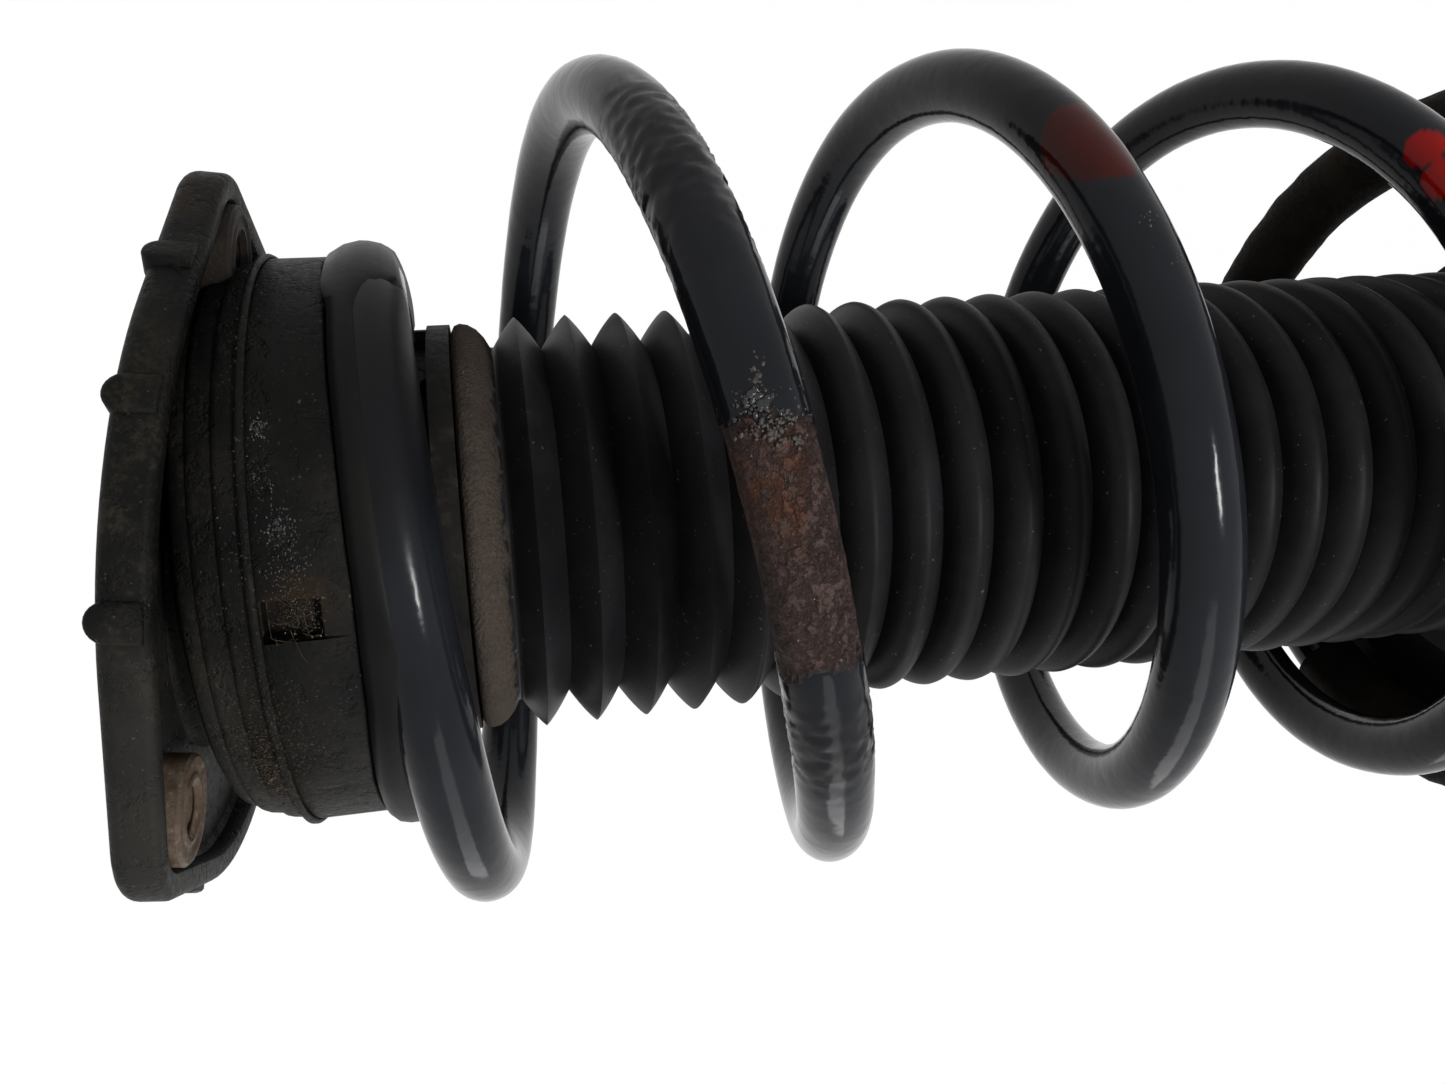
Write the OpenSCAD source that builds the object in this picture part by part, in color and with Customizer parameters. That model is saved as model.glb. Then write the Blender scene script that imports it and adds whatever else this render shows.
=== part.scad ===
// Front suspension strut: top mount, coil spring with pigtail ends, dust boot,
// twin-tube damper and knuckle bracket. Depths are measured down from the mounting face,
// so a depth of 100 lies at z = -100. Angles run from +X towards +Y.

/* [Top mount] */
// Tilt of the mounting flange to the damper axis, in degrees
flange_tilt = 7; // [0:0.5:8]
// Radius of the round middle of the flange
flange_r = 52; // [51:0.5:55]
// Radius of the circle that the threaded inserts stand on
bolt_circle_r = 48.5; // [47.5:0.5:50]
// Radius of each flange lobe
lobe_r = 12.5; // [12:0.5:14]
// Angle of the first lobe
lobe_angle = -17; // [-60:1:60]
// Thickness of the flange plate
plate_t = 3; // [2.5:0.25:4]
// Depth of the flange from its top face to the lip of its skirt
skirt_depth = 7; // [6:0.5:9]
// Wall of the flange skirt
skirt_w = 4; // [3:0.25:5]
// Width of a nub on the skirt
nub_w = 7; // [4:0.5:9]
// Height of a nub above the flange face
nub_h = 2.5; // [1:0.5:4]
// Outer diameter of a threaded insert
insert_d = 16; // [12:0.5:16.5]
// Bore of a threaded insert, at the crests of an M8 thread
insert_bore_d = 6.8; // [5:0.1:8.5]
// Length of a threaded insert
insert_len = 8; // [7:0.5:10]
// Radius of the mount housing at its lower edge
housing_r = 45.5; // [44.5:0.25:48]
// Depth of the lower edge of the mount housing
housing_end = 16; // [15.5:0.25:20]
// Outer radius of the rubber bush
bush_r = 24; // [22:0.5:26]
// Outer radius of the steel sleeve in the bush
sleeve_r = 11; // [9.5:0.5:13]
// Depth of the top of the steel sleeve, which sets how deep the rod nut sits
sleeve_top = 16.5; // [16:0.25:17]
// Length of the steel sleeve in the bush
sleeve_len = 20; // [19:0.5:22]

/* [Bearing] */
// Diameter of a bearing ball
ball_d = 6; // [5:0.25:6.5]
// Radius of the circle of balls
ball_circle_r = 33.5; // [33:0.25:34.5]
// Number of balls
ball_count = 20; // [12:1:24]
// Height of each race
race_h = 4; // [3:0.25:5]
// Radial width of each race
race_w = 8; // [7.5:0.25:8.5]
// Axial gap between the turning and the fixed half
turn_gap = 0.6; // [0.4:0.1:1]

/* [Upper seat] */
// Height of the upper spring seat
seat_h = 11.9; // [10:0.1:14]
// Inner radius of the upper spring seat
seat_bore_r = 28; // [27.5:0.25:28.5]
// Width of the notch in the side of the seat
notch_w = 6; // [4:0.5:9]
// Height of the notch
notch_h = 8; // [5:0.5:8.5]
// Depth of the notch into the seat
notch_cut = 4; // [2:0.5:4.5]
// Wall of the boot collar
collar_wall = 2.5; // [2:0.25:3]
// Outer radius of the rim of the collar
collar_rim_r = 35; // [34.5:0.25:35.5]
// Height of the rim of the collar
collar_rim_h = 3.6; // [2:0.2:4]
// Height of the webs under the rim of the collar
web_h = 5; // [3:0.5:6]
// Number of webs on the collar
web_count = 12; // [6:1:18]
// Least thickness of the rubber insulator above the wire
insulator_t = 1; // [1:0.1:2]
// Wall of the lip that wraps the wire
lip_wall = 1.2; // [1:0.1:2.5]
// Reach of the lip below the middle of the wire, at the wire's end
lip_below = 4; // [1:0.5:5]
// Distance of the lip above the middle of the wire, where it lets go
lip_above = 2.8; // [1.5:0.1:4]
// Height of the insulator where it holds no wire
plain_h = 4.5; // [3:0.5:7]

/* [Coil spring] */
// Diameter of the spring wire
wire_d = 12; // [10:0.25:13]
// Mean radius of the coils
coil_r = 65.5; // [64.5:0.5:68]
// Mean radius of the small upper end
pigtail_r = 43.5; // [43:0.25:44.5]
// Distance from one open coil to the next
coil_pitch = 64.2; // [60:0.2:66]
// Bow of the middle of the spring towards +X
coil_bow = 7.5; // [0:0.5:10]
// Bow of the middle of the spring towards +Y
coil_side_bow = 4.5; // [0:0.5:6]
// Lean of the coils, towards -Y above and +Y below
coil_lean = 3.5; // [0:0.5:5]
// Turns of the seated lower end
dead_turns = 0.35; // [0.3:0.01:0.4]
// Thickness of the rubber sleeve on the lower end
spring_sleeve_t = 1.8; // [1.5:0.1:2.2]

/* [Dust boot] */
// Outer radius of the boot over its ribs
boot_r = 37; // [36:0.25:38]
// Wall of the boot
boot_wall = 1.8; // [1.5:0.1:2]
// Number of sharp pleats at the top
pleat_count = 7; // [4:1:9]
// Distance between pleats
pleat_pitch = 9.3; // [8:0.1:10]
// Depth of a pleat
pleat_depth = 5; // [3:0.25:5]
// Number of round ribs below the pleats
rib_count = 13; // [8:1:14]
// Distance between ribs
rib_pitch = 8.7; // [8:0.1:9]
// Depth of the first round rib
rib_depth = 2; // [1:0.25:3]
// Height of the bead at the top of the boot
bead_h = 4.4; // [3:0.2:6]
// Height of the cuff at the bottom of the boot
cuff_h = 8; // [6:0.5:12]

/* [Damper] */
// Outer diameter of the damper tube
tube_d = 54; // [52:0.5:54]
// Wall of the damper tube
tube_wall = 2; // [1.5:0.25:3]
// Depth of the top of the damper tube
tube_top = 205; // [200:1:210]
// Length of the damper tube
tube_len = 295; // [285:1:320]
// Diameter of the piston rod
rod_d = 22; // [20:0.5:22]
// Diameter of the threaded end of the rod
stud_d = 14; // [12:0.5:14]
// Inner diameter of the pressure tube
bore_d = 33; // [31:0.5:35]
// Wall of the pressure tube
bore_wall = 1.5; // [1:0.25:2]
// Height of the rod guide
guide_h = 18; // [14:0.5:22]
// Height of the base valve
valve_h = 14; // [10:0.5:18]
// Travel of the damper from full droop to the bump stop
travel = 118; // [80:1:118]
// Diameter of the bump stop
bump_d = 44; // [36:1:48]

/* [Lower seat] */
// Radius of the lower spring seat
pan_r = 67.5; // [66:0.5:70]
// Width of the flat of the lower spring seat under the coil
pan_flat = 19; // [17:0.5:22]
// Thickness of the lower spring seat
pan_t = 2.5; // [2:0.25:3.5]
// Depth of the dish in the lower spring seat
dish_h = 10; // [6:0.5:14]
// Width of the lower rubber pad, inwards from the edge of the seat
pad_w = 8; // [7:0.5:12]
// Thickness of the lower rubber pad
pad_t = 1.5; // [1:0.25:3]
// First angle of the cut-out in the lower seat
cutout_from = 8; // [6:1:12]
// Last angle of the cut-out in the lower seat
cutout_to = 58; // [50:1:62]

/* [Knuckle bracket] */
// Thickness of the bracket plate
ear_t = 4; // [3:0.5:6]
// Clear width between the two ears
ear_gap = 30; // [26:1:34]
// Reach of the ears from the damper axis
ear_reach = 76; // [72:1:90]
// Height of the bracket
ear_h = 92; // [86:1:100]
// Distance from the damper axis to the bolt holes
bolt_reach = 60; // [56:1:62]
// Distance between the two bolt holes
bolt_spacing = 58; // [50:1:62]
// Diameter of the bolt holes
bolt_hole_d = 14.2; // [12.2:0.2:16.2]
// Distance from the end of the tube up to the bracket
bracket_lift = 20; // [10:1:30]

/* [Side brackets] */
// Height of the stabiliser link bracket above the knuckle bracket
link_lift = 70; // [58:1:88]
// Hole of the stabiliser link bracket
link_hole_d = 12.2; // [10.2:0.2:12.6]
// Distance from the damper axis to the link hole
link_reach = 44; // [42:0.5:50]
// Thickness of the link bracket
link_t = 5; // [4:0.5:8]
// Height of the brake hose bracket above the knuckle bracket
hose_lift = 26; // [16:1:38]
// Hole of the brake hose bracket
hose_hole_d = 10.4; // [8:0.2:12]
// Distance from the damper axis to the hose hole
hose_reach = 42; // [40:0.5:50]
// Thickness of the hose bracket
hose_t = 3; // [2:0.5:4]

/* [Hidden] */
$fn = 96;
seat_gap = 0.3; // clearance of a soft or loose piece
fit_gap = 0.05; // radial clearance of a close fit
run_gap = 0.03; // radial clearance of a sliding fit

// Turns of the spring, counted from the first open coil at +X; they run down the strut
turn_start = -1.1;
turn_open = 0;
pigtail_turn = -0.72;
pigtail_span = 0.32;
wire_r = wire_d / 2;
wire_sides = 8;
wire_steps = 24;

// Depths of the fixed chain from the mounting face to the spring
seat_top = housing_end + turn_gap;
seat_end = seat_top + seat_h;
wire_top = seat_end + insulator_t + wire_r;
pigtail_drop = 0.3;
pigtail_slope = pigtail_drop / 0.25;
knee_turn = -0.85;
knee_depth = wire_top + pigtail_drop;
open_drop = 31.4;
open_depth = knee_depth + open_drop;
open_slope = 0.81 * coil_pitch;
half_turn = 0.5;
half_depth = open_depth + 0.573 * coil_pitch;
half_slope = 1.05 * coil_pitch;
even_turn = 1;
even_depth = half_depth + 0.394 * coil_pitch;
close_turn = 2.3;
close_depth = even_depth + coil_pitch * (close_turn - even_turn);
dead_turn = 3.3;
bow_start = -0.45;
bow_end = 3;
dead_drop = 35;
dead_depth = close_depth + dead_drop;
turn_end = dead_turn + dead_turns;

// Boot
collar_r = seat_bore_r + 1 + collar_wall;
collar_rim_drop = 11.9;
collar_rim_top = seat_end + collar_rim_drop;
collar_rim_end = collar_rim_top + collar_rim_h;
collar_end = collar_rim_end + bead_h - seat_gap;
bead_end = collar_rim_end + seat_gap + bead_h;
pleat_drop = 6.8;
first_pleat = bead_end + pleat_drop;
ribs_top = first_pleat + pleat_pitch * (pleat_count - 0.5);
ribs_end = ribs_top + rib_count * rib_pitch;
boot_end = pan_top() - 2 * seat_gap;
cuff_r = tube_d / 2 + seat_gap;
cuff_slope = 7;

// Damper chain
tube_r = tube_d / 2;
tube_in_r = tube_r - tube_wall;
tube_end = tube_top + tube_len;
foot_bevel = 2;
rod_r = rod_d / 2;
stud_r = stud_d / 2;
cup_t = 2;
cup_h = 10;
washer_t = 3;
clamp_nut_h = 11;
stud_proud = 1.5;
rod_shoulder = sleeve_top + sleeve_len + cup_t;
seal_h = 2;
guide_top = tube_top + seal_h;
pocket_h = 4;
guide_end = guide_top + guide_h;
cylinder_r = bore_d / 2 + bore_wall;
floor_t = 3;
valve_top = tube_end - floor_t - valve_h;
stop_top = guide_end + 1;
stop_h = 6;
piston_drop = 38;
piston_top = stop_top + piston_drop;
piston_h = 12;
tail_r = 6;
nut_h = 8;
bump_top = rod_shoulder + seat_gap;
bump_end = tube_top - cap_lip() - travel - 2;

// Lower seat
pan_bend = pan_r - pan_flat;
pan_skirt = 6;
cutout_run = 5; // run of the cut-out down the slope of the seat
pan_depth = pan_top();
hub_wall = 3;
hub_top = 6;

// Brackets
bracket_end = tube_end - bracket_lift;
bracket_top = bracket_end - ear_h;
ring_r = tube_r + fit_gap;
hole_low = bracket_end - (ear_h - bolt_spacing) / 2;
hole_high = hole_low - bolt_spacing;
link_angle = -60;
hose_angle = 75;
link_depth = bracket_top - link_lift;
hose_depth = bracket_top - hose_lift;

function cap_lip() = 2;
function pan_top() = dead_depth + wire_r + spring_sleeve_t + seat_gap + pad_t;

// ---- Shapes shared by several pieces ----

// Solid of revolution from [radius, depth] points
module lathe(points, from = 0, sweep = 360)
  rotate([0, 0, from])
    rotate_extrude(angle = sweep)
      polygon([for (p = points) [p[0], -p[1]]]);

// Straight ring between two radii and two depths
module ring(r_in, r_out, top, end) {
  lathe([[r_in, top], [r_out, top], [r_out, end], [r_in, end]]);
}

// Solid bar between two depths
module bar(r, top, end) {
  translate([0, 0, -end])
    cylinder(r = r, h = end - top);
}

module hexagon_bar(across_flats, top, end) {
  translate([0, 0, -end])
    cylinder(r = across_flats / 2 / cos(30), h = end - top, $fn = 6);
}

module on_flange() {
  rotate([0, flange_tilt, 0])
    children();
}

module at_lobes() {
  for (k = [0 : 2])
    rotate([0, 0, lobe_angle + 120 * k])
      translate([bolt_circle_r, 0, 0])
        children();
}

// Three-lobed outline, drawn in by the given amount; its straight sides lie just inside
// the rounds that they join
module flange_outline(inset = 0) {
  big = flange_r - inset;
  small = lobe_r - inset;
  lean = acos((big - small) / bolt_circle_r);
  tip = [bolt_circle_r, 0];
  side = [cos(lean), sin(lean)];
  mirror_side = [cos(lean), -sin(lean)];
  within = 0.02;
  circle(r = big);
  for (k = [0 : 2])
    rotate(lobe_angle + 120 * k) {
      translate(tip)
        circle(r = small);
      polygon([[0, 0], (big - within) * mirror_side, tip + (small - within) * mirror_side,
               tip + (small - within) * side, (big - within) * side]);
    }
}

// Angles of the three nubs in one span, from the lobe that ends it
nub_angles = [-80, -49, -22];

// Radius of the outline at an angle from a lobe, beyond the round of the lobe itself
function side_r(a) =
  let (lean = acos((flange_r - lobe_r) / bolt_circle_r))
  abs(a) > lean ? flange_r : flange_r / cos(lean - abs(a));

// ---- Path of the spring wire ----

function smooth(x) = let (u = max(0, min(1, x))) u * u * (3 - 2 * u);

function mean_r(t) = pigtail_r + (coil_r - pigtail_r) * smooth((t - pigtail_turn) / pigtail_span);

// Depth of the wire: a flat pigtail, a first coil that drops fast and then slowly, an even
// open pitch and a flat seated end
function wire_depth(t) =
  t < knee_turn ? wire_top + pigtail_slope * (t - turn_start)
  : t < turn_open ? ease(t, knee_turn, turn_open, knee_depth, open_depth, pigtail_slope, open_slope)
  : t < half_turn ? ease(t, turn_open, half_turn, open_depth, half_depth, open_slope, half_slope)
  : t < even_turn ? ease(t, half_turn, even_turn, half_depth, even_depth, half_slope, coil_pitch)
  : t < close_turn ? even_depth + coil_pitch * (t - even_turn)
  : t < dead_turn ? ease(t, close_turn, dead_turn, close_depth, dead_depth, coil_pitch, 0)
  : dead_depth;

// Cubic between two depths with a given slope at each end
function ease(t, t0, t1, d0, d1, m0, m1) =
  let (h = t1 - t0, u = (t - t0) / h)
  d0 * (1 + 2 * u) * pow(1 - u, 2) + h * m0 * u * pow(1 - u, 2)
    + d1 * u * u * (3 - 2 * u) + h * m1 * u * u * (u - 1);

// Sideways place of the coil centre, straight over both seats and bowed between them
function bow(t) =
  let (u = max(0, min(1, (t - bow_start) / (bow_end - bow_start))),
       share = 1 - pow(2 * u - 1, 4))
  [coil_bow * share, coil_side_bow * share - coil_lean * sin(360 * u), 0];

function wire_point(t) =
  bow(t) + [mean_r(t) * cos(360 * t), -mean_r(t) * sin(360 * t), -wire_depth(t)];

// Ring of points round the wire at turn t
function wire_ring(t, r, sides) =
  let (p = wire_point(t),
       q = wire_point(t + 0.002) - wire_point(t - 0.002),
       along = q / norm(q),
       out = [cos(360 * t), -sin(360 * t), 0],
       n = out - along * (out * along),
       across = n / norm(n),
       up = cross(along, across))
  [for (i = [0 : sides - 1]) let (a = 360 * i / sides)
    p + r * (cos(a) * across + sin(a) * up)];

// Triangles that join rings of points into one closed tube
function tube_faces(rings, sides) = concat(
  [for (i = [1 : sides - 2]) [0, i + 1, i]],
  [for (k = [0 : rings - 2]) for (i = [0 : sides - 1])
    let (a = k * sides + i, b = k * sides + (i + 1) % sides)
    each [[a, b, b + sides], [a, b + sides, a + sides]]],
  [for (i = [1 : sides - 2]) let (e = (rings - 1) * sides) [e, e + i, e + i + 1]]);

spring_rings = round((turn_end - turn_start) * wire_steps);
function spring_turn(k) = turn_start + (turn_end - turn_start) * k / spring_rings;

// Least gap between coils, measured on the wire's centre points half a turn or more apart
coil_points = [for (k = [0 : spring_rings]) wire_point(spring_turn(k))];
coil_gap = min([for (i = [0 : spring_rings]) for (j = [i + wire_steps / 2 : 1 : spring_rings])
  norm(coil_points[i] - coil_points[j])]) - wire_d;
echo("least gap between coils", coil_gap);

// ---- Top mount ----

module mount_flange() color("#1d1c1b") {
  difference() {
    on_flange()
      difference() {
        union() {
          flange_shell();
          for (k = [0 : 2])
            for (a = nub_angles)
              rotate([0, 0, lobe_angle + 120 * k + a])
                nub(side_r(a));
        }
        at_lobes()
          cylinder(d = insert_d + 2 * fit_gap, h = 4 * skirt_depth, center = true);
      }
    bar(bush_r + 2 * seat_gap, -2 * skirt_depth, 2 * skirt_depth);
  }
}

// Plate with its skirt
module flange_shell() {
  difference() {
    translate([0, 0, -skirt_depth])
      linear_extrude(skirt_depth)
        flange_outline();
    translate([0, 0, -skirt_depth - 1])
      linear_extrude(skirt_depth + 1 - plate_t)
        flange_outline(skirt_w);
  }
}

// Rib down the skirt with a round top that stands above the flange face
module nub(r) {
  reach = skirt_w / 2 + nub_h / 2;
  round_z = nub_h - nub_w / 2;
  step = 0.5;
  rib_w = nub_w - 0.4;
  translate([r - skirt_w / 2, 0, 0]) {
    translate([0, -rib_w / 2, step - skirt_depth])
      cube([reach, rib_w, skirt_depth - step + round_z]);
    translate([0, 0, round_z])
      rotate([0, 90, 0])
        cylinder(d = nub_w, h = reach);
  }
}

module threaded_inserts() color("#8a6a4c") {
  on_flange()
    at_lobes()
      translate([0, 0, -insert_len])
        difference() {
          cylinder(d = insert_d, h = insert_len);
          translate([0, 0, -1])
            cylinder(d = insert_bore_d, h = insert_len + 2);
        }
}

module mount_housing() color("#232120") {
  race_in = ball_circle_r - race_w / 2 - fit_gap;
  race_out = ball_circle_r + race_w / 2 + fit_gap;
  race_top = ball_depth() - ball_gap() - race_h;
  bore = bush_r + fit_gap;
  hub_r = seat_bore_r - 2 * seat_gap;
  hub_end = bush_end() + 3;
  lip_r = sleeve_r + 7;
  difference() {
    lathe([[bore, -7], [bore + 9, -7], [bore + 9, 3.5], [housing_r - 4.5, 6.2],
           [housing_r - 3.5, 7.4], [housing_r - 1.5, 12], [housing_r, housing_end],
           [race_out, housing_end], [race_out, race_top], [race_in, race_top],
           [race_in, housing_end], [hub_r, housing_end], [hub_r, hub_end], [lip_r, hub_end],
           [lip_r, bush_end()], [bore, bush_end()]]);
    on_flange()
      translate([-flange_r * 2, -flange_r * 2, -plate_t])
        cube([flange_r * 4, flange_r * 4, flange_r]);
    on_flange()
      at_lobes()
        translate([0, 0, -insert_len - seat_gap])
          cylinder(d = insert_d + 2 * seat_gap, h = insert_len * 2);
  }
}

function bush_top() = sleeve_top + 1.5;
function bush_end() = sleeve_top + sleeve_len - 6.5;

module rubber_bush() color("#191818") {
  lathe([[sleeve_r + fit_gap, bush_top()], [bush_r - 3, bush_top()], [bush_r, bush_top() - 3],
         [bush_r, bush_end()], [sleeve_r + fit_gap, bush_end()]]);
}

module bush_sleeve() color("#8d8f90") {
  ring(stud_r + fit_gap, sleeve_r, sleeve_top, sleeve_top + sleeve_len);
}

module top_washer() color("#77797a") {
  ring(stud_r + fit_gap, bush_r - 4, sleeve_top - washer_t, sleeve_top);
}

module rod_nut() color("#8f9294") {
  nut_end = sleeve_top - washer_t;
  difference() {
    union() {
      hexagon_bar(stud_d * 1.55, nut_end - clamp_nut_h, nut_end);
      bar(stud_d, nut_end - 2, nut_end);
    }
    bar(stud_r + fit_gap, nut_end - 2 * stud_d, nut_end + 1);
  }
}

// ---- Bearing ----

function ball_depth() = housing_end + turn_gap / 2;
function ball_gap() = turn_gap / 2 + 0.7;

module ball_groove(r) {
  translate([0, 0, -ball_depth()])
    rotate_extrude()
      translate([ball_circle_r, 0])
        circle(r = r, $fn = 48);
}

module race(top, end) {
  difference() {
    ring(ball_circle_r - race_w / 2, ball_circle_r + race_w / 2, top, end);
    ball_groove(ball_d / 2 + fit_gap);
  }
}

module bearing_top_race() color("#a9adb0") {
  race(ball_depth() - ball_gap() - race_h, ball_depth() - ball_gap());
}

module bearing_lower_race() color("#a9adb0") {
  race(ball_depth() + ball_gap(), ball_depth() + ball_gap() + race_h);
}

module at_balls() {
  for (k = [0 : ball_count - 1])
    rotate([0, 0, 360 * k / ball_count])
      translate([ball_circle_r, 0, -ball_depth()])
        children();
}

module bearing_balls() color("#c8cccf") {
  at_balls()
    sphere(d = ball_d, $fn = 32);
}

module bearing_cage() color("#3a4a3e") {
  cage_h = 2 * (ball_gap() - seat_gap);
  difference() {
    ring(ball_circle_r - race_w / 2 + seat_gap, ball_circle_r + race_w / 2 - seat_gap,
         ball_depth() - cage_h / 2, ball_depth() + cage_h / 2);
    at_balls()
      cylinder(r = ball_d / 2 + fit_gap, h = ball_d, center = true, $fn = 32);
  }
}

// ---- Upper seat ----

module upper_spring_seat() color("#242322") {
  race_in = ball_circle_r - race_w / 2 - fit_gap;
  race_out = ball_circle_r + race_w / 2 + fit_gap;
  race_end = ball_depth() + ball_gap() + race_h;
  notch_angle = -101.5;
  difference() {
    lathe([[seat_bore_r, seat_top], [race_in, seat_top], [race_in, race_end],
           [race_out, race_end], [race_out, seat_top], [housing_r, seat_top],
           [housing_r, seat_end], [seat_bore_r, seat_end]]);
    rotate([0, 0, notch_angle])
      translate([housing_r - notch_cut, -notch_w / 2, -seat_top - notch_h])
        cube([2 * notch_cut, notch_w, notch_h + 1]);
  }
}

// Rubber seat that wraps the end of the pigtail and lets go of it where the wire swings out;
// each station is a closed section
insulator_steps = 36;
wrap_turn = 0.11;
wrap_end = -0.64;

function insulator_section(t) =
  let (r = norm([wire_point(t)[0], wire_point(t)[1]]),
       d = wire_depth(t),
       g = wire_r / cos(180 / wire_sides) + seat_gap,
       hold = 1 - smooth((t - wrap_end) / wrap_turn + 1),
       reach = 1 - smooth((t - wrap_end) / wrap_turn),
       below = lip_below - (lip_below + lip_above) * smooth((t - turn_start - 0.08) / 0.2),
       rim = max(housing_r - 0.5, reach * (r + g + lip_wall)),
       c = min(r, rim - g - 1),
       thin_r = collar_r + 1.6,
       free_end = min(seat_end + plain_h, d - g - 0.1),
       lip = hold * (d + below) + (1 - hold) * free_end,
       inner_lip = min(lip, collar_rim_top - web_h - seat_gap))
  [[collar_r + seat_gap, seat_end], [housing_r - 1.5, seat_end], [rim, seat_end + 1.5], [rim, lip],
   for (a = [0 : 30 : 180])
     [max(c + g * cos(a), thin_r), min(d - g * sin(a), a > 90 ? inner_lip : lip)],
   [thin_r, inner_lip], [collar_r + seat_gap, inner_lip]];

module spring_insulator() color("#1c1b1b") {
  stations = [for (k = [0 : insulator_steps - 1]) turn_start - 0.02 + k / insulator_steps];
  sections = [for (t = stations) insulator_section(t)];
  sides = len(sections[0]);
  count = len(sections);
  points = [for (k = [0 : count - 1]) for (p = sections[k])
    [p[0] * cos(360 * stations[k]), -p[0] * sin(360 * stations[k]), -p[1]]];
  faces = [for (k = [0 : count - 1]) for (i = [0 : sides - 1])
    let (n = (k + 1) % count, j = (i + 1) % sides)
    each [[k * sides + i, n * sides + j, k * sides + j],
          [k * sides + i, n * sides + i, n * sides + j]]];
  polyhedron(points, faces);
}

module boot_collar() color("#2b2a29") {
  inner = collar_r - collar_wall;
  lathe([[inner, seat_end], [collar_r, seat_end], [collar_r, collar_rim_top],
         [collar_rim_r, collar_rim_top], [collar_rim_r, collar_rim_end],
         [collar_r, collar_rim_end], [collar_r, collar_end], [inner, collar_end]]);
  for (k = [0 : web_count - 1])
    rotate([0, 0, 360 * (k + 0.5) / web_count])
      translate([collar_r - 0.5, -1, -collar_rim_top])
        cube([collar_rim_r - collar_r, 2, web_h]);
}

// ---- Coil spring ----

module coil_spring() color("#14181f") {
  polyhedron(
    [for (k = [0 : spring_rings]) each wire_ring(spring_turn(k), wire_r, wire_sides)],
    tube_faces(spring_rings + 1, wire_sides));
}

// Rubber sleeve with an open bore, on the same stations as the wire
module spring_sleeve() color("#2a2420") {
  sleeve_turn = 2.72;
  first = floor((sleeve_turn - turn_start) / (turn_end - turn_start) * spring_rings);
  last = spring_rings - 1;
  count = last - first + 1;
  n = wire_sides;
  inner = wire_r + seat_gap;
  outer = wire_r + spring_sleeve_t;
  points = [for (k = [first : last]) each concat(
    wire_ring(spring_turn(k), outer, n), wire_ring(spring_turn(k), inner, n))];
  walls = [for (k = [0 : count - 2]) for (i = [0 : n - 1])
    let (a = k * 2 * n + i, b = k * 2 * n + (i + 1) % n, s = 2 * n)
    each [[a, b, b + s], [a, b + s, a + s],
          [a + n, b + n + s, b + n], [a + n, a + n + s, b + n + s]]];
  ends = [for (i = [0 : n - 1])
    let (j = (i + 1) % n, e = (count - 1) * 2 * n)
    each [[i, j + n, j], [i, i + n, j + n],
          [e + i, e + j, e + j + n], [e + i, e + j + n, e + i + n]]];
  polyhedron(points, concat(walls, ends));
}

// ---- Dust boot ----

function rib_depth_at(k) = max(0.7, rib_depth * (1 - k / rib_count));

// Outer profile of the boot, inset by the wall for the inner side
function boot_profile(inset) = concat(
  [[boot_r - pleat_depth - inset, first_pleat - pleat_pitch / 2]],
  [for (k = [0 : pleat_count - 1]) let (d = first_pleat + pleat_pitch * k)
    each [[boot_r - inset - 0.3, d - 0.6], [boot_r - inset, d], [boot_r - inset - 0.3, d + 0.6],
          [boot_r - pleat_depth * (k < pleat_count - 1 ? 1 : rib_depth / pleat_depth) - inset,
           d + pleat_pitch / 2]]],
  [for (k = [0 : rib_count - 1]) let (d = ribs_top + rib_pitch * k, h = rib_depth_at(k))
    each [for (u = [0.15 : 0.175 : 0.85])
            [boot_r - h * pow(2 * u - 1, 2) * 1.6 - inset, d + rib_pitch * u],
          [boot_r - h - inset, d + rib_pitch]]]);

module dust_boot() color("#1f1e1e") {
  bead_r = collar_r + fit_gap;
  bead_top = collar_rim_end + seat_gap;
  cuff_top = boot_end - cuff_h;
  outer = concat(
    [[bead_r, bead_top], [boot_r, bead_top], [boot_r, bead_end]],
    boot_profile(0),
    [[boot_r - 0.7, max(ribs_end + 1, cuff_top - cuff_slope)], [cuff_r + boot_wall, cuff_top],
     [cuff_r + boot_wall, boot_end], [cuff_r, boot_end]]);
  inner = concat(
    [[bead_r, bead_end]],
    boot_profile(boot_wall),
    [[boot_r - 0.7 - boot_wall, max(ribs_end + 1, cuff_top - cuff_slope)], [cuff_r, cuff_top]]);
  lathe(concat(outer, [for (i = [len(inner) - 1 : -1 : 0]) inner[i]]));
}

// ---- Damper ----

module bump_stop_cup() color("#6d6f70") {
  top = rod_shoulder - cup_t;
  outer = seat_bore_r - 1.2;
  lathe([[stud_r + fit_gap, top], [outer, top], [outer, top + cup_h],
         [outer - 1.5, top + cup_h], [outer - 1.5, rod_shoulder], [stud_r + fit_gap, rod_shoulder]]);
}

module bump_stop() color("#c9b58a") {
  r = bump_d / 2;
  wave = (bump_end - bump_top) / 6;
  outer = [for (k = [0 : 2]) let (d = bump_top + 2 * k * wave)
    each [[r - 2 * k, d + 0.3 * wave], [r - 2 * k, d + 1.3 * wave],
          [r - 2 * k - 4, d + 1.65 * wave]]];
  lathe(concat([[rod_r + seat_gap, bump_top], [r - 1, bump_top]], outer,
               [[r - 9, bump_end], [rod_r + seat_gap, bump_end]]));
}

module piston_rod() color("#d5d9dc") {
  bar(stud_r, sleeve_top - washer_t - clamp_nut_h - stud_proud, rod_shoulder);
  bar(rod_r, rod_shoulder, piston_top);
  bar(tail_r, piston_top, piston_top + piston_h + nut_h + 2);
}

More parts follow.
